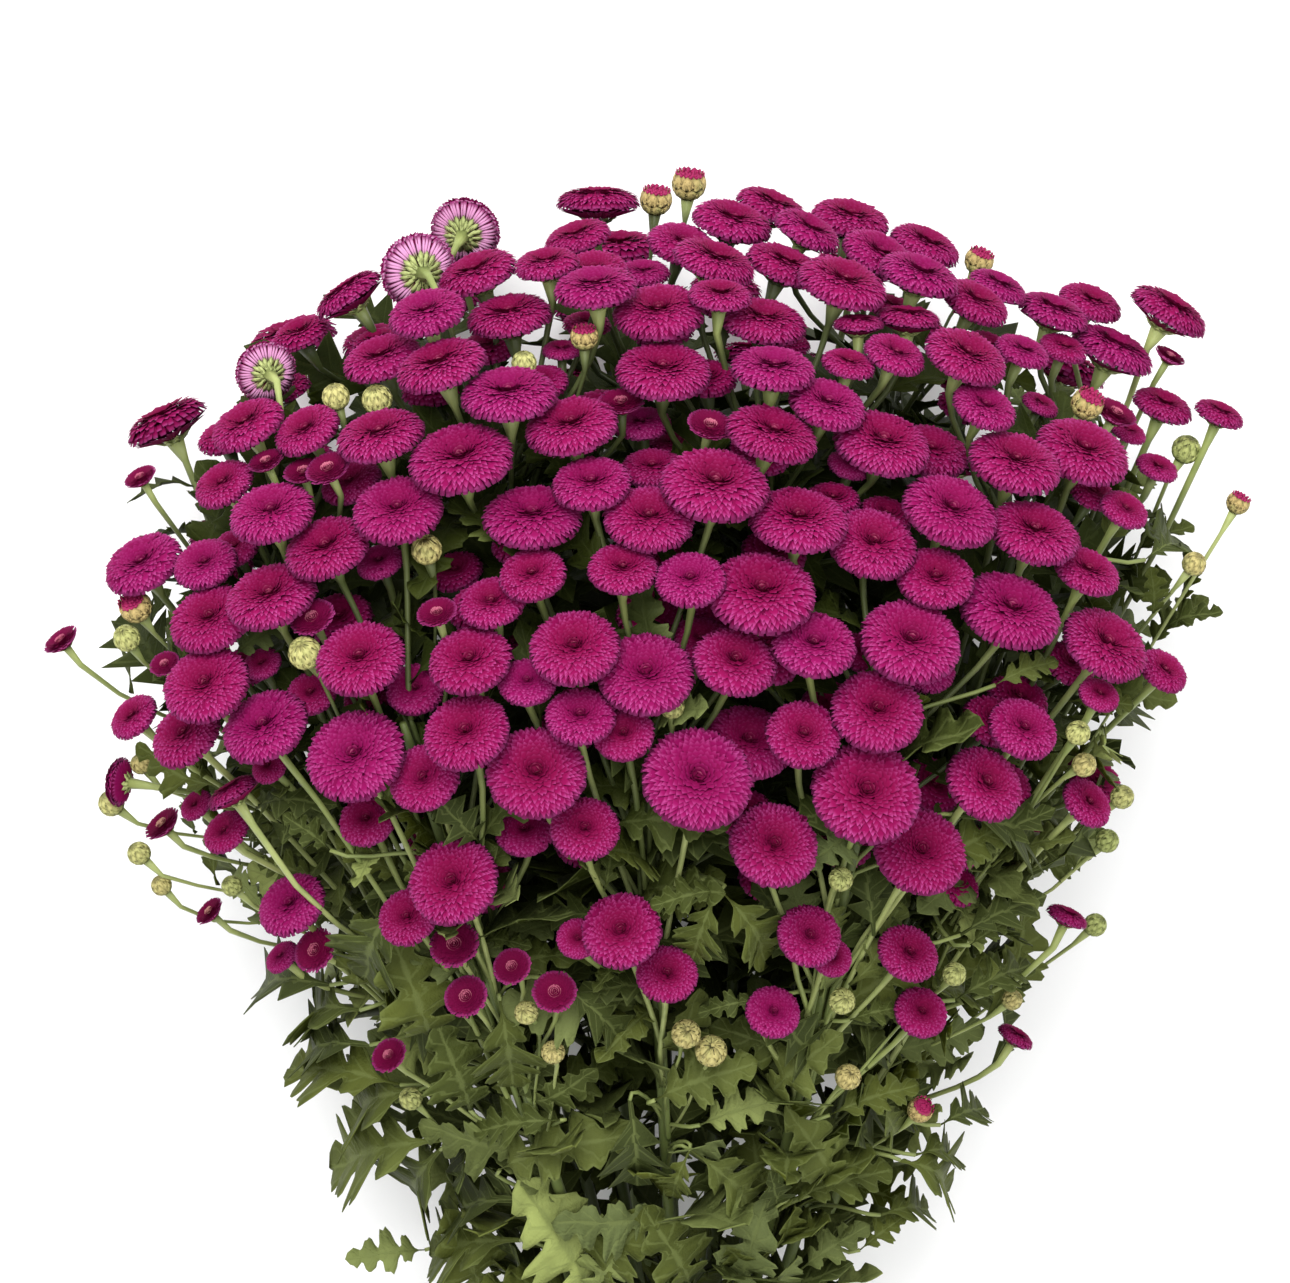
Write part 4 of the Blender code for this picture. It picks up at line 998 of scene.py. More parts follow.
# Where a row that starts at the cup has its foot: how far out, how high, and how much higher further in.
CUP_ROW_OUT, CUP_ROW_HEIGHT, CUP_ROW_RISE = 0.24, 0.02, 0.25
# The width of a floret in gaps of its row: near the rim, which starts here, and further in.
RIM_START, RIM_WIDTH, INNER_WIDTH = 0.7, 1.2, 1.45
# How much closer the florets of a button stand.
BUTTON_PITCH = 0.75
# How much the florets of a row differ: in turn, in how far out and how high their tips are, and in rise.
TURN_TREMBLE, OUT_TREMBLE, HEIGHT_TREMBLE, RISE_TREMBLE = 0.25, 0.014, 0.012, 5

# The kinds of bloom: the gap between florets, the seeds, the rows, and which of them have round tips.
BLOOM_KINDS = {
    "large": (0.118, (1, 2, 3), FULL_ROWS, ROUND_ROWS),
    "medium": (0.143, (4, 5), FULL_ROWS, ROUND_ROWS),
    "small": (0.168, (6, 7), FULL_ROWS, ROUND_ROWS),
    "half": (0.165, (8, 9), HALF_OPEN_ROWS, ROUND_BACK_ROWS),
    "behind": (0.170, (10, 11), FULL_ROWS[:2] + FULL_ROWS[3::2], ROUND_ROWS),
    "pale": (0.116, (12,), FULL_ROWS, ROUND_BACK_ROWS),
}
LARGE_RADIUS, MEDIUM_RADIUS = 0.0145, 0.0105


def bloom_core(name):
    """The body under a bloom's florets: a squashed ball with a hollow in its top."""
    core = marked(*BLOOM_MARKS)
    bmesh.ops.create_uvsphere(core, u_segments=14, v_segments=8, radius=1)
    row_mark = core.verts.layers.float["row"]
    for vert in core.verts:
        flat = math.hypot(vert.co.x, vert.co.y)
        upper = vert.co.z > 0
        lift = CORE_ABOVE if upper else CORE_BELOW
        hollow = HOLLOW_DEPTH * max(0.0, 1 - flat / HOLLOW_WIDTH) if upper else 0.0
        height = CORE_MIDDLE + vert.co.z * lift - hollow
        vert.co = Vector((vert.co.x * CORE_WIDTH, vert.co.y * CORE_WIDTH, height))
        vert[row_mark] = 0.1 + 0.6 * flat
    for face in core.faces:
        face.smooth = True
    return template(core, f"{name}_core")


def bloom_shape(name, pitch, seed, table, round_rows):
    """A bloom of unit radius facing +Z with its foot at the origin: a core and rows of florets."""
    rng = np.random.default_rng(seed)
    up = np.array((0.0, 0.0, 1.0))
    outer = [petal_shape(f"{name}_rim", ROUND_TIP, 0.10, bend, 0.07) for bend in (-0.12, -0.06, 0.0)]
    inner = [wedge_shape(f"{name}_top", 0.08, bend) for bend in (0.0, 0.05, 0.10)]
    bm = marked(*BLOOM_MARKS)
    put(bm, bloom_core(name), Matrix())
    rows = [(row, 0.0) for row in table]
    if table is HALF_OPEN_ROWS:
        rows += [(row, 1.0) for row in BUTTON_ROWS]
    for number, ((reach, height, steep, long), button) in enumerate(rows):
        step = pitch * (BUTTON_PITCH if button else 1.0)
        count = max(3, round(math.tau * reach / step))
        width = (RIM_WIDTH if reach > RIM_START else INNER_WIDTH) * min(math.tau * reach / count, step)
        first = rng.uniform(0, math.tau)
        before, after = rows[max(number - 1, 0)][0], rows[min(number + 1, len(rows) - 1)][0]
        slope = unit(np.array((before[0] - after[0], before[1] - after[1])))
        for index in range(count):
            turn = first + (index + rng.uniform(-TURN_TREMBLE, TURN_TREMBLE)) * math.tau / count
            radial = round_way(turn)
            tip = radial * reach * (1 + rng.normal(0, OUT_TREMBLE))
            tip = tip + up * (height + rng.normal(0, HEIGHT_TREMBLE))
            dome = Vector(up * slope[0] - radial * slope[1]) * DOME_SHARE
            if steep is None:
                base = radial * CUP_ROW_OUT + up * (CUP_ROW_HEIGHT + CUP_ROW_RISE * (1 - reach))
                way = tip - base
                length = float(np.linalg.norm(way))
                way = way / length
                face = unit(up - way * way[2])
                dome = Vector((0, 0, 0))
            else:
                angle = math.radians(steep + rng.normal(0, RISE_TREMBLE))
                length = long * rng.uniform(0.92, 1.08)
                way, face = risen(radial, angle)
                base = tip - way * length
            petal = (outer if number in round_rows else inner)[int(rng.integers(0, 3))]
            size = Matrix.Diagonal((length, width * rng.uniform(0.9, 1.1), 0.5 * length, 1))
            place = leaf_frame(base, way, face) @ size
            put(bm, petal, place, tone=float(rng.random()), row=reach, button=button, dome=dome)
    return template(bm, name)


# The rows of a bud's scales: the heights over its equator, in degrees, at which they start and end, their
# number, width and how far off they stand.
BUD_ROWS = (
    (-84, -6, 9, 1.1, 0.0),
    (-72, 20, 9, 1.1, 0.006),
    (-46, 46, 9, 1.0, 0.012),
    (-14, 84, 9, 0.95, 0.018),
)
BUD_MARKS = ("along", "under", "tone", "open")
# The ball inside the scales, how far out they stand at least, and how much further at their tips.
BUD_CORE, SCALES_OUT, SCALE_TIP_OUT = 0.9, 0.95, 0.015
# An opening bud: where its ball is cut off and turns red, and how high its scales still reach, in degrees.
OPEN_TOP, OPEN_RED_FROM, OPEN_SCALES_TO = 0.55, 0.5, 40
# Its first florets: how far out each row stands, their number and rise in degrees, their foot and size.
OPENING_ROWS = ((0.72, 16, 72), (0.50, 12, 80), (0.27, 7, 86))
OPENING_FOOT = (0.0, 0.0, 0.35)
OPENING_SIZE = (0.42, 0.30, 0.4, 1)


def opening_florets(bm, name, rng):
    """Adds the first florets of an opening bud."""
    floret = petal_shape(f"{name}_floret", PLAIN, 0.10, 0.05, 0.10)
    for reach, count, steep in OPENING_ROWS:
        for number in range(count):
            turn = (number + rng.uniform(-0.2, 0.2)) * math.tau / count
            angle = math.radians(steep + rng.normal(0, RISE_TREMBLE))
            radial = round_way(turn)
            way, face = risen(radial, angle)
            place = leaf_frame(radial * reach + np.array(OPENING_FOOT), way, face)
            put(bm, floret, place @ Matrix.Diagonal(OPENING_SIZE), tone=float(rng.random()), open=1.0)


def bud_shape(name, seed, opening=False):
    """A bud of unit radius facing +Z round the origin, in rows of scales, or with its first florets out."""
    rng = np.random.default_rng(seed)
    scale = petal_shape(f"{name}_scale", POINTED, 0.0, 0.0, 0.03)
    core = marked(*BUD_MARKS)
    bmesh.ops.create_uvsphere(core, u_segments=12, v_segments=8, radius=BUD_CORE)
    for vert in core.verts:
        vert[core.verts.layers.float["along"]] = 0.5 + 0.5 * vert.co.z
        if opening:
            vert[core.verts.layers.float["open"]] = 1.0 if vert.co.z > OPEN_RED_FROM else 0.0
            vert.co.z = min(vert.co.z, OPEN_TOP)
    bm = marked(*BUD_MARKS)
    put(bm, template(core, f"{name}_core"), Matrix())
    along = bm.verts.layers.float["along"]
    for row, (low, high, count, width, off) in enumerate(BUD_ROWS):
        if opening:
            high = min(high, OPEN_SCALES_TO)
        for number in range(count):
            turn = (number + 0.5 * row + rng.normal(0, 0.05)) * math.tau / count
            corners = len(bm.verts)
            put(bm, scale, Matrix(), tone=float(rng.random()))
            for vert in bm.verts[corners:]:
                height = math.radians(low + (high - low) * vert.co.x)
                aside = turn + vert.co.y * width / max(math.cos(height), 0.35)
                out = SCALES_OUT + off + vert.co.z + SCALE_TIP_OUT * vert.co.x
                level = out * math.cos(height)
                vert[along] = 0.5 + 0.5 * math.sin(height)
                vert.co = Vector((level * math.cos(aside), level * math.sin(aside), out * math.sin(height)))
    if opening:
        opening_florets(bm, name, rng)
    bmesh.ops.recalc_face_normals(bm, faces=bm.faces)
    return template(bm, name)


def tube_along(bm, points, radii, sides, slot=0, **marks):
    """A closed tube through points, with a number at its corners for how far along it they are."""
    points = [Vector(point) for point in points]
    ways = [(after - before).normalized() for before, after in zip(points, points[1:])]
    bends = [ways[0]] + [(one + two).normalized() for one, two in zip(ways, ways[1:])] + [ways[-1]]
    turn = bends[0].to_track_quat("Z", "Y")
    tube = marked(*(layer.name for layer in bm.verts.layers.float.values()))
    ring = bmesh.ops.create_circle(tube, segments=sides, radius=1)["verts"]
    start = end = tube.edges[:]
    rings = [ring]
    for _ in points[1:]:
        made = bmesh.ops.extrude_edge_only(tube, edges=end)["geom"]
        ring = [item for item in made if isinstance(item, bmesh.types.BMVert)]
        edges = [item for item in made if isinstance(item, bmesh.types.BMEdge)]
        end = [edge for edge in edges if all(vert in ring for vert in edge.verts)]
        rings.append(ring)
    along = tube.verts.layers.float["along"]
    for number, (ring, place, radius, bend) in enumerate(zip(rings, points, radii, bends)):
        if number:
            turn = bends[number - 1].rotation_difference(bend) @ turn
        for vert in ring:
            vert.co = place + turn @ (vert.co * radius)
            vert[along] = number / (len(points) - 1)
    for edges in (start, end):
        bmesh.ops.contextual_create(tube, geom=edges)
    bmesh.ops.recalc_face_normals(tube, faces=tube.faces)
    mesh = template(tube, "tube")
    put(bm, mesh, Matrix(), slot, **marks)
    bpy.data.meshes.remove(mesh)


def curve_points(start, one, two, end, count):
    """Points along a smooth curve from start to end, drawn towards two more."""
    shares = np.linspace(0, 1, count)[:, None]
    back = 1 - shares
    return start * back**3 + 3 * one * back**2 * shares + 3 * two * back * shares**2 + end * shares**3


# The points along a stalk, how far its curve is drawn from each end, and how far it enters the bloom.
STALK_POINTS = 7
STALK_DRAW = 0.32
STALK_ENTERS = 0.0005


def stalk_points(head, index, bend):
    """A smooth stalk from its branch stem to the foot of its bloom or bud."""
    root, neck, seat = head.stalk(index)
    way = WAYS[head.stem[index]]
    reach = np.linalg.norm(neck - root)
    straight = unit(neck - root)
    one = root + unit(0.65 * straight + 0.35 * way) * reach * STALK_DRAW + bend * reach
    two = neck - unit(0.5 * straight + 0.5 * head.face[index]) * reach * STALK_DRAW - bend * reach * 0.5
    points = curve_points(root, one, two, neck, STALK_POINTS)
    return np.vstack((points, seat + head.face[index] * STALK_ENTERS))


# Half the width of a leaf along its length, and how far its lobes lean forward, as shares of its length.
LEAF_OUTLINE = (
    (0.0, 0.012), (0.09, 0.012), (0.14, 0.025), (0.16, 0.05), (0.18, 0.13), (0.21, 0.165), (0.24, 0.155),
    (0.27, 0.17), (0.30, 0.13), (0.32, 0.07), (0.35, 0.055), (0.38, 0.10), (0.40, 0.22), (0.44, 0.265),
    (0.48, 0.25), (0.52, 0.27), (0.55, 0.23), (0.57, 0.12), (0.60, 0.07), (0.63, 0.10), (0.65, 0.18),
    (0.68, 0.205), (0.71, 0.19), (0.74, 0.20), (0.77, 0.15), (0.79, 0.09), (0.81, 0.075), (0.84, 0.11),
    (0.88, 0.13), (0.92, 0.115), (0.96, 0.085), (1.0, 0.006),
)
PLAIN_LEAF_OUTLINE = (
    (0.0, 0.015), (0.12, 0.02), (0.24, 0.19), (0.31, 0.06), (0.47, 0.29), (0.54, 0.08), (0.70, 0.24),
    (0.77, 0.08), (0.88, 0.11), (1.0, 0.004),
)
LEAF_SWEEP, LEAF_TIP_SWEEP = 0.42, 0.7
LEAF_MARKS = ("along", "aside", "under", "tone")
# A blade's arch along its length, how its sides rise, how many waves run along its edge, how much its
# lobes differ in width, and its thickness.
LEAF_ARCH, LEAF_ARCH_END = 0.10, 1.2
LEAF_TROUGH = 0.35
LEAF_WAVES = 13
LEAF_TREMBLE = (0.82, 1.15)
LEAF_THICKNESS = 0.008
LEAF_COLUMNS = 2


def blade_shape(name, outline, droop, wave, seed, width):
    """A lobed leaf of unit length along +X with its upper face up, as a thin closed blade."""
    rng = np.random.default_rng(seed)
    rows, columns = len(outline) - 1, LEAF_COLUMNS
    bm = marked(*LEAF_MARKS)
    layer = {mark: bm.verts.layers.float[mark] for mark in LEAF_MARKS}
    bmesh.ops.create_grid(bm, x_segments=rows, y_segments=columns, size=1)
    tremble = rng.uniform(*LEAF_TREMBLE, (rows + 1, 2))
    for vert in bm.verts:
        row = round((vert.co.x + 1) / 2 * rows)
        aside = round(vert.co.y * columns / 2) * 2 / columns
        along, half = outline[row]
        half = half * tremble[row][int(aside > 0)] * width
        forward = LEAF_SWEEP * half * abs(aside)
        lift = LEAF_ARCH * math.sin(math.pi * min(along * LEAF_ARCH_END, 1)) - droop * along**2
        ripple = math.sin(LEAF_WAVES * along + 2 * aside + seed)
        lift += abs(aside) * half * LEAF_TROUGH + wave * ripple * aside**2
        vert.co = Vector((along + forward * (1 - LEAF_TIP_SWEEP * along), aside * half, lift))
        vert[layer["along"]] = along
        vert[layer["aside"]] = abs(aside)
    made = bmesh.ops.solidify(bm, geom=bm.faces[:], thickness=-LEAF_THICKNESS)["geom"]
    for item in made:
        if isinstance(item, bmesh.types.BMVert):
            item[layer["under"]] = 1.0
    bmesh.ops.recalc_face_normals(bm, faces=bm.faces)
    return template(bm, name)


# How the bunch is filled with more leaves, round by round: how many are tried and at most kept, their
# lengths, how far inside the bunch they lie, how far up the bunch they may be, and how far apart they keep.
FILL_ROUNDS = (
    (9000, 260, (0.030, 0.048), (-0.002, 0.030), (0.02, 0.40), 0.0045),
    (16000, 420, (0.034, 0.052), (0.016, 0.075), (0.20, 0.52), 0.0050),
    (12000, 420, (0.036, 0.055), (0.050, 0.130), (0.20, 0.50), 0.0055),
    (6000, 120, (0.020, 0.032), (0.002, 0.030), (0.30, 0.47), 0.0040),
    (14000, 160, (0.040, 0.060), (0.055, 0.140), (0.24, 0.50), 0.0036),
)
FILL_MARGIN = 0.0006
FILL_BLOOM_CLEAR = 0.001
FILL_OVER_FLOOR = 0.002
# How much nearer a leaf may come to its own stem's stalks.
FILL_OWN_EASE = 0.004
# Where it may grow on its carrier, the point it turns away from, and its lean off its carrier in degrees.
FILL_SPAN = (0.05, 0.97)
FILL_CENTRE = (0.0, HEAD_MIDDLE - 0.20, -0.02)
FILL_OUTWARD = 0.6
FILL_LEANS = (25, 85)
FILL_FACE_TREMBLE = 0.35
# Leaves that lie further than this from a new one are not tested against it.
FILL_NEAR = 0.03
# How many leaves a stem, a branch stem and a stalk get by their length.
STEM_LEAVES, BRANCH_LEAVES, STALK_LEAVES = 5.0, 2.5, 1.0
FILL_ABOVE_MEET = 0.05
# How unevenly the leaves' tones are spread: most are dark.
TONE_POWER = 1.5
# Points of a blade for testing what it touches: how far along it and aside.
SPARSE_POINTS = ((0.25, 0.1), (0.42, 0.16), (0.6, 0.22), (0.8, 0.18), (0.97, 0.0))
SPARSE_RISE = 0.03


def sparse_points(frame_of_leaf, length):
    """A few points of a leaf's blade, for testing what it would touch."""
    points = []
    for along, half in SPARSE_POINTS:
        for aside in (-1, 0, 1) if half else (0,):
            spot = Vector((along * length, aside * half * length, SPARSE_RISE * length))
            points.append(frame_of_leaf @ spot)
    return np.array(points)


def blade_spots():
    """Points of a filling leaf's blade, as shares of its length."""
    spots = []
    for along, half in ((0.25, 0.1), (0.5, 0.2), (0.75, 0.2)):
        spots += [(along, aside * half, SPARSE_RISE) for aside in (-1, 0, 1)]
    return np.array(spots + [(0.97, 0.0, 0.0)])


BLADE_SPOTS = blade_spots()
# The one of them in the middle of the blade.
MIDDLE_SPOT = 4


def fill_carriers(head):
    """What a filling leaf may grow from: its ends, its stem's number, and its leaves by its length."""
    carriers = []
    for stem, way in enumerate(WAYS):
        low, high = MEET + way * FILL_ABOVE_MEET, MEET + way * head.tops[stem]
        carriers.append((low, high, stem, STEM_LEAVES))
    for (stem, _), (low, high) in head.rachis.items():
        carriers.append((low, high, stem, BRANCH_LEAVES))
    for index in range(len(head.place)):
        root, neck, _ = head.stalk(index)
        carriers.append((root, neck, head.stem[index], STALK_LEAVES))
    return carriers


@functools.cache
def fill_leaves():
    """More leaves, on the stems, the branch stems and the stalks, which fill the gaps between the blooms, in
    darker tones the deeper they lie: painted shade.
    """
    head = the_head()
    rng = np.random.default_rng(23)
    lows, highs, stems, shares = (np.array(column) for column in zip(*fill_carriers(head)))
    weights = np.linalg.norm(highs - lows, axis=1) * shares
    starts, ends, keeps = head.stalk_lines()
    line_stems = np.repeat(head.stem, 2)
    stem_starts, stem_ends = stem_spans(head)
    taken = np.vstack([sparse_points(leaf, length) for leaves in the_leaves() for leaf, length in leaves])
    found = []
    for tries, most, lengths, depths, heights, apart in FILL_ROUNDS:
        pick = rng.choice(len(stems), size=tries, p=weights / weights.sum())
        foot = lows[pick] + (highs - lows)[pick] * rng.uniform(*FILL_SPAN, (tries, 1))
        along = unit((highs - lows)[pick])
        outward = unit(foot - np.array(FILL_CENTRE))
        sideways = rng.normal(0, 1, (tries, 3)) + outward * FILL_OUTWARD
        sideways = unit(sideways - along * (sideways * along).sum(axis=1, keepdims=True))
        lean = np.radians(rng.uniform(*FILL_LEANS, (tries, 1)))
        blade = unit(along * np.cos(lean) + sideways * np.sin(lean))
        face = unit(outward + rng.normal(0, FILL_FACE_TREMBLE, (tries, 3)))
        face = unit(face - blade * (face * blade).sum(axis=1, keepdims=True))
        side = np.cross(face, blade)
        length = rng.uniform(*lengths, tries)
        spots = BLADE_SPOTS[None, :, :, None] * np.stack((blade, side, face), axis=1)[:, None, :, :]
        points = foot[:, None, :] + spots.sum(axis=2) * length[:, None, None]
        inside = -outside_head(points).max(axis=1)
        level = points[:, :, 1]
        good = (inside > depths[0]) & (inside < depths[1])
        good &= lie(points)[:, :, 2].min(axis=1) > FILL_OVER_FLOOR
        good &= (level.min(axis=1) > heights[0]) & (level.max(axis=1) < heights[1])
        kept = 0
        for index in np.nonzero(good)[0]:
            if kept >= most:
                break
            mine, stem = points[index], stems[pick[index]]
            reach = np.linalg.norm(taken - mine[MIDDLE_SPOT], axis=1) < FILL_NEAR + apart
            if reach.any():
                gaps = np.linalg.norm(mine[:, None, :] - taken[None, reach, :], axis=2)
                if gaps.min() < apart:
                    continue
            gaps = line_gaps(mine, stem_starts, stem_ends)
            gaps[:, stem] += STEM_RADIUS
            if gaps.min() < STEM_RADIUS + FILL_MARGIN:
                continue
            gaps = line_gaps(mine, starts, ends) - keeps - FILL_MARGIN
            gaps[:, line_stems == stem] += FILL_OWN_EASE
            if gaps.min() < 0:
                continue
            if (head.bloom_depths(mine, FILL_BLOOM_CLEAR) < 1).any():
                continue
            taken = np.vstack((taken, mine))
            kept += 1
            # Painted shade: the deeper a leaf lies in the bunch, the darker its tone.
            dark = (inside[index] - LEAST_SHADED_DEPTH) / (MOST_SHADED_DEPTH - LEAST_SHADED_DEPTH)
            light = 1 - np.clip(dark, 0, 1)
            place = leaf_frame(foot[index], blade[index], face[index])
            found.append((place, float(length[index]), stem, float(rng.random() ** TONE_POWER * light)))
    return found


# Leaves that the picture shows: column and row of the foot and of the tip, and how light each is.
SEEN_LEAVES = (
    (330, 985, 238, 980, 0.1), (360, 1010, 293, 1018, 0.3), (370, 1045, 278, 1050, 0.1),
    (400, 1085, 280, 1063, 0.5), (420, 1090, 345, 1120, 0.4), (440, 1140, 323, 1168, 0.6),
    (440, 1150, 415, 1205, 0.3), (520, 1200, 425, 1215, 0.1), (425, 1250, 348, 1258, 0.9),
    (520, 1240, 423, 1255, 0.4), (430, 1040, 395, 940, 0.5), (500, 1000, 515, 1095, 0.4),
    (500, 1170, 615, 1130, 0.6), (590, 1290, 525, 1185, 1.0), (600, 1290, 612, 1230, 0.9),
    (720, 890, 785, 975, 0.5), (720, 890, 650, 905, 0.3), (715, 895, 690, 965, 0.4),
    (560, 985, 640, 1050, 0.1), (655, 1100, 755, 1062, 0.6), (700, 1125, 778, 1098, 0.95),
    (690, 1150, 775, 1222, 0.6), (690, 1150, 665, 1208, 0.5), (630, 1100, 640, 1205, 0.05),
    (765, 1100, 835, 1035, 0.6), (830, 1115, 920, 1080, 0.5), (790, 1200, 895, 1165, 0.4),
    (600, 1285, 640, 1220, 0.5), (690, 1285, 650, 1215, 0.4), (960, 935, 1050, 890, 0.1),
    (970, 945, 1012, 918, 0.3), (955, 1000, 1040, 955, 0.2), (940, 1125, 987, 1105, 0.2),
    (915, 1155, 965, 1150, 0.4), (900, 1160, 960, 1192, 0.5), (880, 1215, 935, 1205, 0.4),
    (1145, 560, 1187, 533, 0.1), (960, 815, 1060, 850, 0.05), (975, 850, 1055, 805, 0.1),
    (995, 685, 1060, 655, 0.6), (830, 1180, 800, 1120, 0.6), (860, 1250, 905, 1215, 0.5),
    (800, 1270, 865, 1225, 0.7), (740, 1290, 760, 1215, 0.8), (470, 1110, 440, 1030, 0.3),
    (560, 1120, 470, 1130, 0.3), (480, 1290, 450, 1220, 0.5), (850, 1020, 905, 1005, 0.3),
    (330, 850, 285, 815, 0.2), (395, 900, 360, 985, 0.2), (760, 1000, 700, 1010, 0.2),
)
# How deep in the bunch they lie, the radius of their stalks, how much they face up in the picture, and how
# far down the stem their stalks start, as a share of their length.
SEEN_DEPTH = 0.006
SEEN_STALK = 0.0008
SEEN_UPWARD = 0.3
SEEN_ROOT_SHARE = 0.6


@functools.cache
def seen_leaves():
    """The picture's leaves: each one's place, length, stem and tone, and where its stalk leaves the stem."""
    head = the_head()
    found = []
    for foot_column, foot_row, column, row, tone in SEEN_LEAVES:
        tip = place_seen(column, row, SEEN_DEPTH)
        foot = place_seen(foot_column, foot_row, 2 * SEEN_DEPTH)
        blade = tip - foot
        length = float(np.linalg.norm(blade))
        face = unit(NEAR + SEEN_UPWARD * UP)
        reaches = ((foot - MEET) * WAYS).sum(axis=1) - SEEN_ROOT_SHARE * length
        reaches = np.minimum(reaches, np.array(head.tops) - ROOT_BELOW_TOP)
        roots = MEET + WAYS * reaches[:, None]
        stem = int(np.argmin(np.linalg.norm(roots - foot, axis=1)))
        found.append((leaf_frame(foot, blade, face), length, stem, tone, roots[stem]))
    return found


def link(tree, value, socket):
    """Links another socket to a socket, or sets it to a number or a colour."""
    if isinstance(value, bpy.types.NodeSocket):
        tree.links.new(value, socket)
    elif isinstance(value, (int, float)):
        socket.default_value = value
    else:
        socket.default_value = (*value, 1.0)


def mix(tree, factor, first, second, blend="MIX"):
    node = tree.nodes.new("ShaderNodeMix")
    node.data_type = "RGBA"
    node.blend_type = blend
    link(tree, factor, node.inputs[0])
    link(tree, first, node.inputs[6])
    link(tree, second, node.inputs[7])
    return node.outputs[2]


def calculate(tree, operation, first, second=0.0, clamp=False):
    node = tree.nodes.new("ShaderNodeMath")
    node.operation = operation
    node.use_clamp = clamp
    link(tree, first, node.inputs[0])
    link(tree, second, node.inputs[1])
    return node.outputs[0]


def times(tree, first, second):
    return calculate(tree, "MULTIPLY", first, second)


def attribute(tree, name):
    node = tree.nodes.new("ShaderNodeAttribute")
    node.attribute_name = name
    return node.outputs["Fac"]


def span(tree, value, low, high, to_low=0.0, to_high=1.0):
    """Takes a value from one span to another, smoothly and held at both ends."""
    node = tree.nodes.new("ShaderNodeMapRange")
    node.interpolation_type = "SMOOTHSTEP"
    link(tree, value, node.inputs["Value"])
    for name, number in (("From Min", low), ("From Max", high), ("To Min", to_low), ("To Max", to_high)):
        node.inputs[name].default_value = number
    return node.outputs["Result"]


def ramp(tree, factor, stops):
    node = tree.nodes.new("ShaderNodeValToRGB")
    elements = node.color_ramp.elements
    while len(elements) < len(stops):
        elements.new(0.5)
    for element, (place, colour) in zip(elements, stops):
        element.position = place
        element.color = (*colour, 1)
    link(tree, factor, node.inputs["Fac"])
    return node.outputs["Color"]


@functools.cache
def mottle_group():
    """Soft patches and fine grain over a surface, for the leaves, stalks, petals and band."""
    tree = bpy.data.node_groups.new("mottle", "ShaderNodeTree")
    interface = tree.interface
    for name, default in (("Patch Scale", 60.0), ("Grain Scale", 900.0)):
        socket = interface.new_socket(name=name, in_out="INPUT", socket_type="NodeSocketFloat")
        socket.default_value = default
    interface.new_socket(name="Patches", in_out="OUTPUT", socket_type="NodeSocketFloat")
    interface.new_socket(name="Grain", in_out="OUTPUT", socket_type="NodeSocketFloat")
    source = tree.nodes.new("NodeGroupInput")
    result = tree.nodes.new("NodeGroupOutput")
    place = tree.nodes.new("ShaderNodeTexCoord")
    for name, output in (("Patch Scale", "Patches"), ("Grain Scale", "Grain")):
        noise = tree.nodes.new("ShaderNodeTexNoise")
        noise.inputs["Detail"].default_value = 2.0
        tree.links.new(place.outputs["Object"], noise.inputs["Vector"])
        tree.links.new(source.outputs[name], noise.inputs["Scale"])
        tree.links.new(noise.outputs["Fac"], result.inputs[output])
    return tree


def new_material(name, roughness, specular=0.5, patches=60.0):
    """An empty node material, and its tree, shader and the mottle group in it."""
    material = bpy.data.materials.new(name)
    material.use_nodes = True
    tree = material.node_tree
    shader = tree.nodes["Principled BSDF"]
    shader.inputs["Roughness"].default_value = roughness
    shader.inputs["Specular IOR Level"].default_value = specular
    mottle = tree.nodes.new("ShaderNodeGroup")
    mottle.node_tree = mottle_group()
    mottle.inputs["Patch Scale"].default_value = patches
    return material, tree, shader, mottle


def patched(tree, mottle, colour, other, low, high, most):
    """A colour with soft patches of another one, which is mixed in by a share at most."""
    return mix(tree, span(tree, mottle.outputs["Patches"], low, high, 0.0, most), colour, other)


def vector_maths(tree, operation, first, second):
    node = tree.nodes.new("ShaderNodeVectorMath")
    node.operation = operation
    link(tree, first, node.inputs[0])
    if operation == "SCALE":
        link(tree, second, node.inputs["Scale"])
    elif second is not None:
        link(tree, second, node.inputs[1])
    return node.outputs["Value" if operation == "DOT_PRODUCT" else "Vector"]


def domed_normal(tree):
    """The surface's own direction, drawn towards that of the bloom's dome where it faces the same way."""
    dome = tree.nodes.new("ShaderNodeAttribute")
    dome.attribute_name = "dome"
    own = tree.nodes.new("ShaderNodeNewGeometry").outputs["Normal"]
    facing = span(tree, vector_maths(tree, "DOT_PRODUCT", dome.outputs["Vector"], own), -0.2, 0.6)
    drawn = vector_maths(tree, "SCALE", dome.outputs["Vector"], facing)
    return vector_maths(tree, "NORMALIZE", vector_maths(tree, "ADD", own, drawn), None)


def coat(tree, shader, colour, height, distance, strength, normal=None):
    """Gives a shader its colour and its bumps."""
    tree.links.new(colour, shader.inputs["Base Color"])
    bump = tree.nodes.new("ShaderNodeBump")
    if normal is not None:
        tree.links.new(normal, bump.inputs["Normal"])
    bump.inputs["Distance"].default_value = distance
    bump.inputs["Strength"].default_value = strength
    link(tree, height, bump.inputs["Height"])
    tree.links.new(bump.outputs["Normal"], shader.inputs["Normal"])


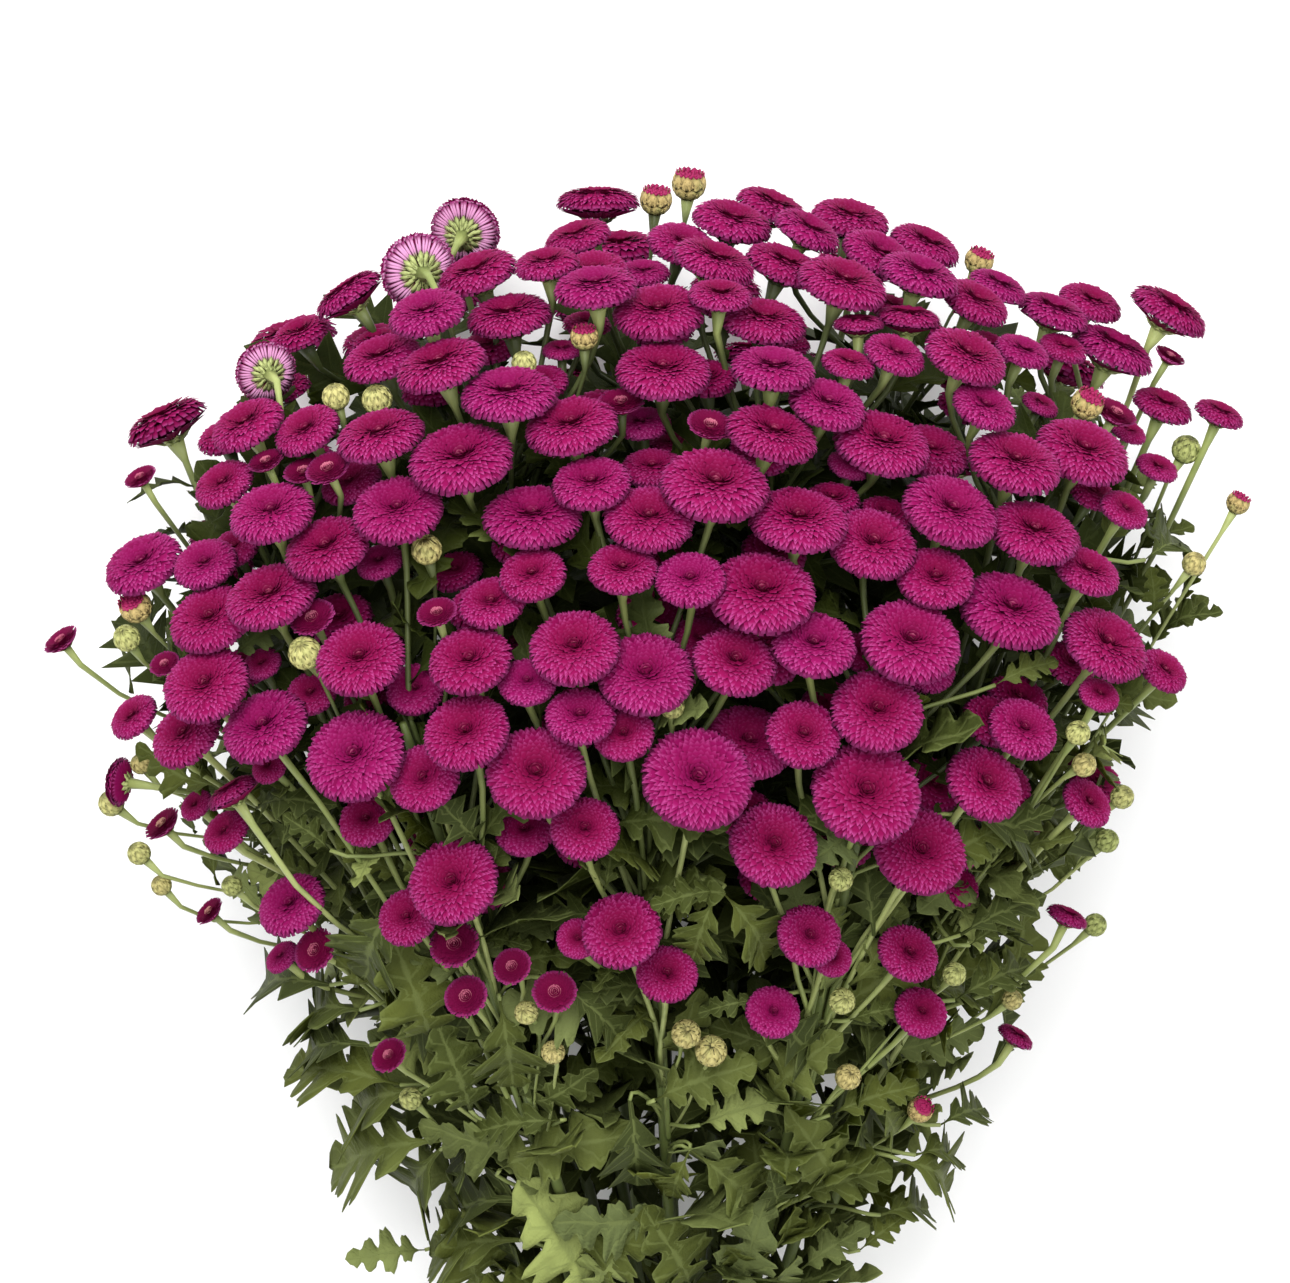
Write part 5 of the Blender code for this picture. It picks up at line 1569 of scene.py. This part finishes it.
@functools.cache
def petal_material():
    settings = bpy.context.scene.bunch_blooms
    material, tree, shader, mottle = new_material("magenta petals", 0.75, 0.05, 45)
    mottle.inputs["Grain Scale"].default_value = 700
    along = attribute(tree, "along")
    row = attribute(tree, "row")
    bloom = attribute(tree, "bloom")
    body = ramp(tree, row, ((0.08, settings.heart), (0.5, settings.deep), (0.9, settings.petal)))
    body = mix(tree, span(tree, bloom, 0.55, 1, 0.0, 0.5), body, settings.purple)
    body = mix(tree, span(tree, bloom, 0.0, 0.45, 0.35, 0.0), body, settings.deep)
    tips = times(tree, span(tree, along, 0.70, 1.0), span(tree, row, 0.3, 0.95, 0.2, 1.0))
    tips = times(tree, tips, span(tree, attribute(tree, "tone"), 0, 1, 0.55, 1.0))
    colour = mix(tree, tips, body, settings.tip)
    colour = mix(tree, span(tree, along, 0.3, 0.75, 0.45, 0.0), colour, settings.shade)
    reverse = span(tree, attribute(tree, "under"), 0.5, 0.75)
    pale = attribute(tree, "pale")
    back = ramp(tree, along, ((0.25, settings.lime), (0.45, settings.reverse), (1.0, settings.reverse)))
    colour = mix(tree, times(tree, reverse, span(tree, pale, 0, 1, 0.35, 1.0)), colour, back)
    half = attribute(tree, "half")
    disc = times(tree, half, span(tree, row, 0.95, 0.99, 0.85, 0.0))
    colour = mix(tree, disc, colour, settings.disc)
    rim = times(tree, half, span(tree, row, 0.955, 0.985, 0.0, 0.55))
    colour = mix(tree, rim, colour, settings.tip)
    spot = times(tree, span(tree, row, 0.05, 0.15, 0.5, 0.0), span(tree, along, 0.5, 1.0))
    colour = mix(tree, spot, colour, settings.rose)
    button = times(tree, attribute(tree, "button"), span(tree, along, 0.3, 0.8))
    colour = mix(tree, button, colour, ramp(tree, bloom, ((0.0, settings.cream), (0.3, settings.rose))))
    colour = patched(tree, mottle, colour, settings.deep, 0.35, 0.7, 0.2)
    coat(tree, shader, colour, mottle.outputs["Grain"], 0.0003, 0.3, domed_normal(tree))
    return material


@functools.cache
def leaf_material():
    settings = bpy.context.scene.bunch_leaves
    material, tree, shader, mottle = new_material("chrysanthemum leaf", 0.55, 0.05)
    colours = (settings.darkest, settings.dark, settings.olive, settings.grey, settings.young)
    colour = ramp(tree, attribute(tree, "tone"), tuple(zip((0.0, 0.3, 0.55, 0.78, 1.0), colours)))
    darker = mix(tree, 0.5, colour, settings.darkest)
    colour = patched(tree, mottle, colour, darker, 0.35, 0.7, 0.7)
    aside = attribute(tree, "aside")
    along = attribute(tree, "along")
    midrib = span(tree, aside, 0.03, 0.14, 1.0, 0.0)
    slanted = calculate(tree, "SUBTRACT", along, times(tree, aside, 0.16))
    rows = calculate(tree, "FRACT", times(tree, slanted, 7.0))
    off_vein = calculate(tree, "ABSOLUTE", calculate(tree, "SUBTRACT", rows, 0.5))
    side_vein = span(tree, off_vein, 0.04, 0.12, 0.6, 0.0)
    veins = calculate(tree, "MAXIMUM", midrib, side_vein)
    colour = mix(tree, times(tree, veins, 0.5), colour, settings.vein)
    colour = mix(tree, span(tree, aside, 0.8, 1.0, 0.0, 0.3), colour, settings.vein)
    under = attribute(tree, "under")
    colour = mix(tree, times(tree, under, 0.25), colour, settings.grey)
    # Painted shade: the green darkens towards the darkest colour deeper in the bunch.
    deep = span(tree, attribute(tree, "deep"), 0, 1, 0.0, 0.8)
    colour = mix(tree, deep, colour, settings.darkest)
    height = calculate(tree, "ADD", times(tree, veins, -0.6), mottle.outputs["Grain"])
    coat(tree, shader, colour, height, 0.0005, 0.6)
    return material


# How bright a stalk is in the painted shade deep in the bunch, beside the others.
DEEP_STALK_SHADE_SHARE = 0.2


@functools.cache
def stalk_material():
    settings = bpy.context.scene.bunch_stalks
    material, tree, shader, mottle = new_material("green stalk", 0.5, 0.3, 90)
    greens = ((0.0, settings.stem), (0.5, settings.stalk), (1.0, settings.pale))
    colour = ramp(tree, attribute(tree, "tone"), greens)
    colour = patched(tree, mottle, colour, settings.stem, 0.4, 0.7, 0.4)
    # Painted shade: stalks darken towards a share of the stem colour deeper in the bunch.
    dark = tuple(part * DEEP_STALK_SHADE_SHARE for part in settings.stem)
    colour = mix(tree, span(tree, attribute(tree, "deep"), 0, 1, 0.0, 0.85), colour, dark)
    coat(tree, shader, colour, mottle.outputs["Grain"], 0.0003, 0.4)
    return material


@functools.cache
def bud_material():
    settings = bpy.context.scene.bunch_stalks
    material, tree, shader, mottle = new_material("bud scales", 0.6, 0.25, 260)
    stages = (
        (0.0, settings.bud_green),
        (0.3, settings.bud_cream),
        (0.6, settings.bud_orange),
        (0.8, settings.bud_red),
        (1.0, settings.bud_dark),
    )
    colour = ramp(tree, attribute(tree, "ripe"), stages)
    along = attribute(tree, "along")
    colour = mix(tree, span(tree, along, 0.0, 0.6, 0.5, 0.0), colour, settings.stem)
    colour = patched(tree, mottle, colour, settings.stalk, 0.45, 0.7, 0.35)
    colour = mix(tree, attribute(tree, "open"), colour, settings.opening)
    coat(tree, shader, colour, mottle.outputs["Patches"], 0.0006, 0.6)
    return material


# How bright the band's light patches are beside its own colour.
LIGHTER_BAND = 1.25


@functools.cache
def band_material():
    settings = bpy.context.scene.bunch_band
    material, tree, shader, mottle = new_material("rubber band", 0.55, patches=200)
    lighter = tuple(min(1.0, part * LIGHTER_BAND) for part in settings.colour)
    colour = mix(tree, mottle.outputs["Patches"], settings.colour, lighter)
    coat(tree, shader, colour, mottle.outputs["Grain"], 0.0002, 0.5)
    return material


def colour_property(name, description, default):
    kind = {"size": 3, "min": 0, "max": 1, "subtype": "COLOR"}
    return FloatVectorProperty(name=name, description=description, default=default, **kind)


class BloomSettings(bpy.types.PropertyGroup):
    """The blooms' florets and colours."""

    shade: colour_property("Shade", "Between the florets", (0.10, 0.0009, 0.024))
    heart: colour_property("Heart", "Florets in a bloom's middle", (0.11, 0.0011, 0.024))
    deep: colour_property("Deep", "Florets half way out", (0.155, 0.0017, 0.039))
    petal: colour_property("Petal", "Florets near the rim", (0.20, 0.0033, 0.062))
    tip: colour_property("Tip", "Edge of a floret's tip", (0.36, 0.050, 0.205))
    purple: colour_property("Purple", "The more purple blooms", (0.19, 0.004, 0.082))
    reverse: colour_property("Reverse", "Back of the petals", (0.50, 0.23, 0.40))
    lime: colour_property("Lime", "Foot of the petals, seen from behind", (0.34, 0.42, 0.12))
    disc: colour_property("Disc", "Florets of a half-open bloom", (0.095, 0.001, 0.024))
    cream: colour_property("Cream", "Middle of a half-open bloom", (0.52, 0.36, 0.22))
    rose: colour_property("Rose", "Middle of a half-open bloom", (0.42, 0.11, 0.17))


class StalkSettings(bpy.types.PropertyGroup):
    """The stalks', cups' and buds' sizes and colours."""

    stalk_radius: FloatProperty(
        name="Stalk radius", description="Half the thickness of a stalk", default=0.0011, unit="LENGTH"
    )
    stem: colour_property("Stem", "Main and branch stems", (0.10, 0.14, 0.035))
    stalk: colour_property("Stalk", "Flower stalks", (0.25, 0.29, 0.09))
    pale: colour_property("Pale", "Cups and bracts", (0.38, 0.42, 0.16))
    bud_green: colour_property("Green bud", "Youngest buds", (0.28, 0.33, 0.10))
    bud_cream: colour_property("Cream bud", "Young buds", (0.42, 0.40, 0.15))
    bud_orange: colour_property("Orange bud", "Ripening buds", (0.40, 0.28, 0.11))
    bud_red: colour_property("Red bud", "Buds that begin to open", (0.32, 0.06, 0.06))
    bud_dark: colour_property("Dark bud", "Dark buds", (0.10, 0.06, 0.03))
    opening: colour_property("Opening", "First florets of a bud", (0.30, 0.012, 0.085))


class LeafSettings(bpy.types.PropertyGroup):
    """The leaves' colours."""

    # The darkest green is also the colour of the painted shade deep in the bunch.
    darkest: colour_property("Darkest", "Leaves deep in the bunch", (0.012, 0.017, 0.0015))
    dark: colour_property("Dark", "Most leaves", (0.032, 0.040, 0.003))
    olive: colour_property("Olive", "Olive leaves", (0.075, 0.086, 0.010))
    grey: colour_property("Grey", "Blue-grey leaves", (0.110, 0.135, 0.048))
    young: colour_property("Young", "Young leaves", (0.32, 0.37, 0.11))
    vein: colour_property("Vein", "The leaves' veins", (0.16, 0.19, 0.06))


class BandSettings(bpy.types.PropertyGroup):
    """The band's size and colour."""

    thickness: FloatProperty(
        name="Thickness", description="Thickness of the band", default=0.0016, unit="LENGTH"
    )
    width: FloatProperty(name="Width", description="Width of the band", default=0.012, unit="LENGTH")
    colour: colour_property("Colour", "Natural rubber", (0.50, 0.33, 0.16))


class StageSettings(bpy.types.PropertyGroup):
    """The floor, light and camera."""

    floor: colour_property("Floor", "The plain pale floor", (0.92, 0.92, 0.92))
    world: FloatProperty(name="Sky", description="Strength of the soft light from all sides", default=1.0)
    key: FloatProperty(name="Key light", description="Power of the large light", default=70.0, unit="POWER")


BRANCH_LETTERS = "abc"


def nodes_of(head, stem):
    """The names of a stem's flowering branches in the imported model."""
    return [
        f"flowers_{stem + 1:02d}_{letter}"
        for branch, letter in enumerate(BRANCH_LETTERS)
        if (stem, branch) in head.rachis
    ]


def kind_of_bloom(head, index):
    """Which of the bloom kinds stands for one of the head's blooms."""
    kind, radius = head.kind[index], head.radius[index]
    if index >= len(head.place) - BACK_BLOOMS:
        return "behind"
    if kind in ("pale", "half"):
        return kind
    if radius > LARGE_RADIUS:
        return "large"
    return "medium" if radius > MEDIUM_RADIUS else "small"


def foot_of_bloom(place, face, radius):
    return place - face * radius * BLOOM_HEIGHT_SHARE


# The highest tone of a deeper bloom: these get the darker tones, painted shade deep in the head.
DEEPER_SHADED_TONE = 0.4


class BUNCH_OT_blooms(bpy.types.Operator):
    """Make the blooms of every stem, one piece a stem"""

    bl_idname = "bunch.blooms"
    bl_label = "Blooms"

    def execute(self, context):
        head = the_head()
        shapes = {}
        for name, (pitch, seeds, table, round_rows) in BLOOM_KINDS.items():
            shapes[name] = [bloom_shape(name, pitch, seed, table, round_rows) for seed in seeds]
        behind = shapes["behind"]
        rng = np.random.default_rng(5)
        for stem in range(len(WAYS)):
            bm = marked(*BLOOM_MARKS, "bloom", "pale", "half")
            for index in np.nonzero(head.stem == stem)[0]:
                kind, face, radius = head.kind[index], head.face[index], head.radius[index]
                spin, tone, pick = rng.uniform(0, math.tau), float(rng.random()), int(rng.integers(0, 6))
                if kind == "bud":
                    continue
                choice = shapes[kind_of_bloom(head, index)]
                place = turn_to(face, foot_of_bloom(head.place[index], face, radius))
                matrix = place @ Matrix.Rotation(spin, 4, "Z") @ Matrix.Scale(radius, 4)
                pale, half = float(kind == "pale"), float(kind == "half")
                put(bm, choice[pick % len(choice)], matrix, bloom=tone, pale=pale, half=half)
            for place, face, radius, owner, _ in deeper_blooms():
                if owner == stem:
                    matrix = turn_to(face, foot_of_bloom(place, face, radius)) @ Matrix.Scale(radius, 4)
                    # Painted shade: a deeper bloom gets one of the darker tones.
                    tone = DEEPER_SHADED_TONE * float(rng.random())
                    put(bm, behind[len(bm.verts) % len(behind)], matrix, bloom=tone)
            piece = new_piece(f"blooms_{stem + 1:02d}", bm, [petal_material()], smooth=False)
            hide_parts(*nodes_of(head, stem))
        return {"FINISHED"}


STALK_MARKS = ("along", "under", "tone", "ripe", "open", "deep")
# How thick a stalk is beside the settings' radius, by what it carries.
STALK_SHARES = {"bud": 0.55, "half": 0.72, "full": 0.92, "pale": 0.85}
# Bracts under a bloom, in rows: their number, where they start and end as shares of the radius, their lift.
BRACT_ROWS = ((9, 0.10, 0.46, 0.02), (8, 0.06, 0.36, -0.05))
FULL_BRACT_ROWS = ((15, 0.14, 0.58, 0.03), (13, 0.08, 0.46, 0.0), (10, 0.05, 0.34, -0.05))
# The bracts' widths, and how far from the cup's rim their feet and tips lie.
BRACT_WIDTH, PALE_BRACT_WIDTH = 0.20, 0.13
BRACT_FOOT, BRACT_TIP = -0.09, 0.12
BRACT_TREMBLE = 0.06
# The buds that begin to open: column and row in the picture, and how ripe they are beside the others.
OPEN_BUDS = (
    (656, 200), (689, 184), (979, 261), (1238, 503), (137, 605), (1090, 405), (582, 338), (920, 1110),
)
OPEN_RIPE, CLOSED_RIPE = 0.55, (0.05, 0.45)
# The radii along a branch stem, and where: both as shares.
BRANCH_PATH = ((0, 0.4), (0.02, 1), (0.35, 1.05), (0.7, 0.95), (0.97, 0.9), (1, 0.4))
BRANCH_SIDES, BRANCH_TONE = 6, 0.2
# A stalk's radii from its foot, as shares, and that under its cup; how much it bends; and its tones.
STALK_PATH = (1, 1, 1, 1, 1, 1.1, 1.4)
STALK_CUP_SHARE = 0.82
STALK_SIDES = 5
BUD_BEND, BLOOM_BEND = 0.10, 0.05
STALK_TONES = (0.35, 0.8)
# A deeper bloom's stalk: its radius beside the others', and how far its curve is drawn from each end.
DEEPER_STALK_SHARE = 0.8
DEEPER_DRAW = 0.4


def put_bracts(bm, bract, head, index, rng):
    """Adds the bracts under a bloom, in rows round its cup."""
    face, radius, kind = head.face[index], head.radius[index], head.kind[index]
    place = turn_to(face, head.seat(index))
    width = (PALE_BRACT_WIDTH if kind == "pale" else BRACT_WIDTH) * radius
    for row, (count, low, high, lift) in enumerate(FULL_BRACT_ROWS if kind == "pale" else BRACT_ROWS):
        for number in range(count):
            turn = (number + 0.5 * row) * math.tau / count + rng.normal(0, BRACT_TREMBLE)
            radial = Vector((math.cos(turn), math.sin(turn), 0))
            start = radial * low * radius + Vector((0, 0, BRACT_FOOT + lift)) * radius
            end = radial * high * radius + Vector((0, 0, BRACT_TIP + lift)) * radius
            way = end - start
            side = Vector((0, 0, -1)).cross(radial)
            outer = way.cross(side).normalized()
            size = Matrix.Diagonal((way.length, width, way.length, 1))
            put(bm, bract, place @ leaf_frame(start, way, outer) @ size, tone=0.9)


class BUNCH_OT_stalks(bpy.types.Operator):
    """Make the stalks, cups, branch stems and buds of every stem, one piece a stem"""

    bl_idname = "bunch.stalks"
    bl_label = "Stalks and buds"

    def execute(self, context):
        head = the_head()
        thin = context.scene.bunch_stalks.stalk_radius
        bract = petal_shape("bract", PLAIN, 0.05, 0.10, 0.05)
        buds = [bud_shape("bud", seed) for seed in (1, 2, 3)]
        opening = bud_shape("opening_bud", 4, opening=True)
        opened = {sight_line(*place).tobytes() for place in OPEN_BUDS}
        rng = np.random.default_rng(7)
        for stem in range(len(WAYS)):
            bm = marked(*STALK_MARKS)
            for branch in range(BRANCHES_A_STEM):
                if (stem, branch) in head.rachis:
                    low, high = head.rachis[stem, branch]
                    points = [low + (high - low) * share for share, _ in BRANCH_PATH]
                    radii = [RACHIS_HALF * share for _, share in BRANCH_PATH]
                    tube_along(bm, points, radii, BRANCH_SIDES, tone=BRANCH_TONE)
            for index in np.nonzero(head.stem == stem)[0]:
                face, radius, kind = head.face[index], head.radius[index], head.kind[index]
                bend = rng.normal(0, BUD_BEND if kind == "bud" else BLOOM_BEND, 3)
                points = stalk_points(head, index, bend)
                slim = thin * STALK_SHARES[kind]
                radii = [slim * share for share in STALK_PATH] + [head.cup(index) * STALK_CUP_SHARE]
                tone = float(rng.uniform(*STALK_TONES))
                tube_along(bm, points, radii, STALK_SIDES, tone=tone)
                if kind == "bud":
                    matrix = turn_to(face, head.place[index]) @ Matrix.Rotation(rng.uniform(0, 6), 4, "Z")
                    shape = buds[int(rng.integers(0, len(buds)))]
                    ripe = float(rng.uniform(*CLOSED_RIPE))
                    if head.ray[index].tobytes() in opened:
                        shape, ripe = opening, OPEN_RIPE
                    put(bm, shape, matrix @ Matrix.Scale(radius, 4), 1, ripe=ripe)
                else:
                    put_bracts(bm, bract, head, index, rng)
            for place, face, radius, owner, root in deeper_blooms():
                if owner == stem:
                    seat = foot_of_bloom(place, face, radius)
                    reach = np.linalg.norm(seat - root)
                    one = root + WAYS[stem] * reach * DEEPER_DRAW
                    two = seat - face * reach * DEEPER_DRAW
                    points = curve_points(root, one, two, seat, STALK_POINTS)
                    radii = [thin * DEEPER_STALK_SHARE] * 5 + [thin, radius * CUP_SHARE]
                    tube_along(bm, points, radii, STALK_SIDES, tone=BRANCH_TONE)
            mark_depth_for_painted_shade(bm)
            piece = new_piece(f"stalks_{stem + 1:02d}", bm, [stalk_material(), bud_material()])
            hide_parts(*nodes_of(head, stem))
        return {"FINISHED"}


# Leaves darker than this lie deep in the bunch and have a plainer outline.
PLAIN_TONE = 0.19
# The kinds of leaf: how far each droops, how high its edge waves, and its width beside the outline's.
LEAF_KINDS = ((0.10, 0.020, 1.0), (0.18, 0.030, 0.92), (0.06, 0.018, 1.08), (0.24, 0.035, 0.86))
# The radii along a main stem from its cut end to its top, as shares.
STEM_PATH = (0.9, 1, 1, 1, 1, 0.98, 0.9, 0.8, 0.5)
STEM_SIDES, STEM_TONE = 8, 0.15
BAND_CLEAR = 0.01
# The stalk of a leaf that the picture shows: how far its curve is drawn from each end, and its tone.
SEEN_DRAWS, SEEN_TONE = (0.4, 0.3), 0.4


def main_stem_points(stem, top):
    """Points along a main stem: upright below the band, and from there on in its own direction."""
    way = WAYS[stem]
    at_band = MEET + way * (STEM_MEET / way[1])
    cut_end = at_band - np.array((0, STEM_BELOW_BAND, 0))
    points = [cut_end + (at_band - cut_end) * share for share in (0, 0.02, 0.6)]
    points += [at_band - np.array((0, BAND_CLEAR, 0)), at_band + way * BAND_CLEAR]
    return points + [at_band + (top - at_band) * share for share in (0.3, 0.6, 0.97, 1)]


class BUNCH_OT_leafy_stems(bpy.types.Operator):
    """Make every main stem with its leaves, one piece a stem"""

    bl_idname = "bunch.leafy_stems"
    bl_label = "Leafy stems"

    def execute(self, context):
        head = the_head()
        cut, plain = [], []
        for seed, (droop, wave, width) in enumerate(LEAF_KINDS):
            cut.append(blade_shape("cut_leaf", LEAF_OUTLINE, droop, wave, seed, width))
            plain.append(blade_shape("plain_leaf", PLAIN_LEAF_OUTLINE, droop, wave, seed, width))
        fill, seen = fill_leaves(), seen_leaves()
        rng = np.random.default_rng(9)
        for stem, way in enumerate(WAYS):
            bm = marked(*LEAF_MARKS, "deep")
            points = main_stem_points(stem, MEET + way * head.tops[stem])
            radii = [STEM_RADIUS * share for share in STEM_PATH]
            tube_along(bm, points, radii, STEM_SIDES, 1, tone=STEM_TONE)
            leaves = []
            for place, length in the_leaves()[stem]:
                leaves.append((place, length, float(rng.random() ** TONE_POWER)))
            leaves += [(place, length, tone) for place, length, owner, tone in fill if owner == stem]
            for place, length, owner, tone, root in seen:
                if owner == stem:
                    leaves.append((place, length, tone))
                    foot, way_up = np.array(place.translation), np.array(place.col[0][:3])
                    reach = np.linalg.norm(foot - root)
                    one = root + way * reach * SEEN_DRAWS[0]
                    two = foot - way_up * reach * SEEN_DRAWS[1]
                    petiole = curve_points(root, one, two, foot, STALK_POINTS)
                    tube_along(bm, petiole, [SEEN_STALK] * STALK_POINTS, STALK_SIDES, 1, tone=SEEN_TONE)
            for place, length, tone in leaves:
                shape = (cut if tone > PLAIN_TONE else plain)[int(rng.integers(0, len(cut)))]
                put(bm, shape, place @ Matrix.Scale(length, 4), tone=tone)
            mark_depth_for_painted_shade(bm)
            piece = new_piece(f"leafy_stem_piece_{stem + 1:02d}", bm, [leaf_material(), stalk_material()])
            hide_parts(f"leafy_stem_{stem + 1:02d}")
        return {"FINISHED"}


# Half the room inside the band, across the bunch and out of its front; and how its edges are rounded.
BAND_INSIDE = (0.0137, 0.0099)
BAND_ROUNDING = 0.0005
BAND_STEPS = 72


class BUNCH_OT_band(bpy.types.Operator):
    """Make the band round the stems"""

    bl_idname = "bunch.band"
    bl_label = "Band"

    def execute(self, context):
        settings = context.scene.bunch_band
        bm = bmesh.new()
        inside_long, inside_short = BAND_INSIDE
        upright = Matrix.Rotation(math.radians(90), 3, "X")
        bmesh.ops.create_grid(bm, x_segments=1, y_segments=1, size=0.5)
        bmesh.ops.rotate(bm, verts=bm.verts, cent=(0, 0, 0), matrix=upright)
        bmesh.ops.scale(bm, vec=(settings.thickness, 1, settings.width), verts=bm.verts)
        rounding = {"offset": BAND_ROUNDING, "segments": 2, "profile": 0.5, "affect": "VERTICES"}
        bmesh.ops.bevel(bm, geom=bm.verts[:], material=-1, **rounding)
        bmesh.ops.translate(bm, vec=(inside_long + settings.thickness / 2, 0, 0), verts=bm.verts)
        bmesh.ops.spin(
            bm,
            geom=bm.faces[:] + bm.edges[:] + bm.verts[:],
            cent=(0, 0, 0),
            axis=(0, 0, 1),
            angle=math.tau,
            steps=BAND_STEPS,
            use_merge=True,
        )
        bmesh.ops.scale(bm, vec=(1, inside_short / inside_long, 1), verts=bm.verts)
        bmesh.ops.rotate(bm, verts=bm.verts, cent=(0, 0, 0), matrix=upright)
        bmesh.ops.translate(bm, vec=BAND_MIDDLE, verts=bm.verts)
        bmesh.ops.remove_doubles(bm, verts=bm.verts, dist=1e-6)
        inner = [face for face in bm.faces if all(len(edge.link_faces) > 2 for edge in face.edges)]
        bmesh.ops.delete(bm, geom=inner, context="FACES_ONLY")
        bmesh.ops.recalc_face_normals(bm, faces=bm.faces)
        piece = new_piece("band_strip", bm, [band_material()])
        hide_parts("band")
        return {"FINISHED"}


# The lights: how far each stands to the right of the bunch, above it and nearer than it in the view, its
# size, and its power as a share of the settings' key light.
LIGHTS = {
    "key light": (-0.35, 1.0, 2.3, 1.6, 1.0),
    "front light": (0.6, -0.1, 2.5, 2.2, 0.4),
}
FLOOR_SIZE = 4
SENSOR_WIDTH = 36


class BUNCH_OT_stage(bpy.types.Operator):
    """Set the floor, the soft light and the camera at the picture's viewing angle"""

    bl_idname = "bunch.stage"
    bl_label = "Stage"

    def execute(self, context):
        settings = context.scene.bunch_stage
        bm = bmesh.new()
        bmesh.ops.create_grid(bm, x_segments=1, y_segments=1, size=FLOOR_SIZE)
        mesh = template(bm, "floor")
        material, tree, shader, mottle = new_material("pale floor", 0.9)
        colour = ramp(tree, mottle.outputs["Patches"], ((0, settings.floor), (1, settings.floor)))
        tree.links.new(colour, shader.inputs["Base Color"])
        mesh.materials.append(material)
        floor = bpy.data.objects.new("floor", mesh)
        context.scene.collection.objects.link(floor)
        world = bpy.data.worlds.new("soft sky")
        world.use_nodes = True
        background = world.node_tree.nodes["Background"]
        background.inputs["Color"].default_value = (1, 1, 1, 1)
        background.inputs["Strength"].default_value = settings.world
        context.scene.world = world
        context.scene.view_settings.view_transform = "Standard"
        down = laid_down()
        eye, target = down @ Vector(EYE), down @ Vector(TARGET)
        up = (down.to_3x3() @ Vector(UP)).normalized()
        near = (eye - target).normalized()
        right = up.cross(near)
        turn = Matrix((right, up, near)).transposed().to_4x4()
        for name, (aside, above, towards, size, share) in LIGHTS.items():
            light = bpy.data.lights.new(name, "AREA")
            light.shape = "DISK"
            light.size = size
            light.energy = settings.key * share
            lamp = bpy.data.objects.new(name, light)
            place = target + right * aside + up * above + near * towards
            aim = (target - place).normalized().to_track_quat("-Z", "Y").to_matrix().to_4x4()
            lamp.matrix_world = Matrix.Translation(place) @ aim
            context.scene.collection.objects.link(lamp)
        lens = bpy.data.cameras.new("camera")
        lens.sensor_width = SENSOR_WIDTH
        lens.sensor_fit = "HORIZONTAL"
        lens.lens = SENSOR_WIDTH * VIEW_DISTANCE / PICTURE_WIDTH
        camera = bpy.data.objects.new("camera", lens)
        camera.matrix_world = Matrix.Translation(eye) @ turn
        context.scene.collection.objects.link(camera)
        context.scene.camera = camera
        return {"FINISHED"}


class BUNCH_PT_panel(bpy.types.Panel):
    """Lists the bunch's pieces"""

    bl_label = "Chrysanthemum Bunch"
    bl_idname = "BUNCH_PT_panel"
    bl_space_type = "VIEW_3D"
    bl_region_type = "UI"
    bl_category = "Bunch"

    def draw(self, context):
        for operator in OPERATORS:
            self.layout.operator(operator.bl_idname)


SETTINGS = {
    "bunch_blooms": BloomSettings,
    "bunch_stalks": StalkSettings,
    "bunch_leaves": LeafSettings,
    "bunch_band": BandSettings,
    "bunch_stage": StageSettings,
}
OPERATORS = (BUNCH_OT_blooms, BUNCH_OT_stalks, BUNCH_OT_leafy_stems, BUNCH_OT_band, BUNCH_OT_stage)


def register():
    for name, settings in SETTINGS.items():
        bpy.utils.register_class(settings)
        setattr(bpy.types.Scene, name, PointerProperty(type=settings))
    for made in (*OPERATORS, BUNCH_PT_panel):
        bpy.utils.register_class(made)


def unregister():
    for made in (BUNCH_PT_panel, *reversed(OPERATORS)):
        bpy.utils.unregister_class(made)
    for name, settings in reversed(SETTINGS.items()):
        delattr(bpy.types.Scene, name)
        bpy.utils.unregister_class(settings)


def main():
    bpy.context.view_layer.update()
    register()
    bpy.ops.bunch.blooms()
    bpy.ops.bunch.stalks()
    bpy.ops.bunch.leafy_stems()
    bpy.ops.bunch.band()
    bpy.ops.bunch.stage()


if __name__ == "__main__":
    main()
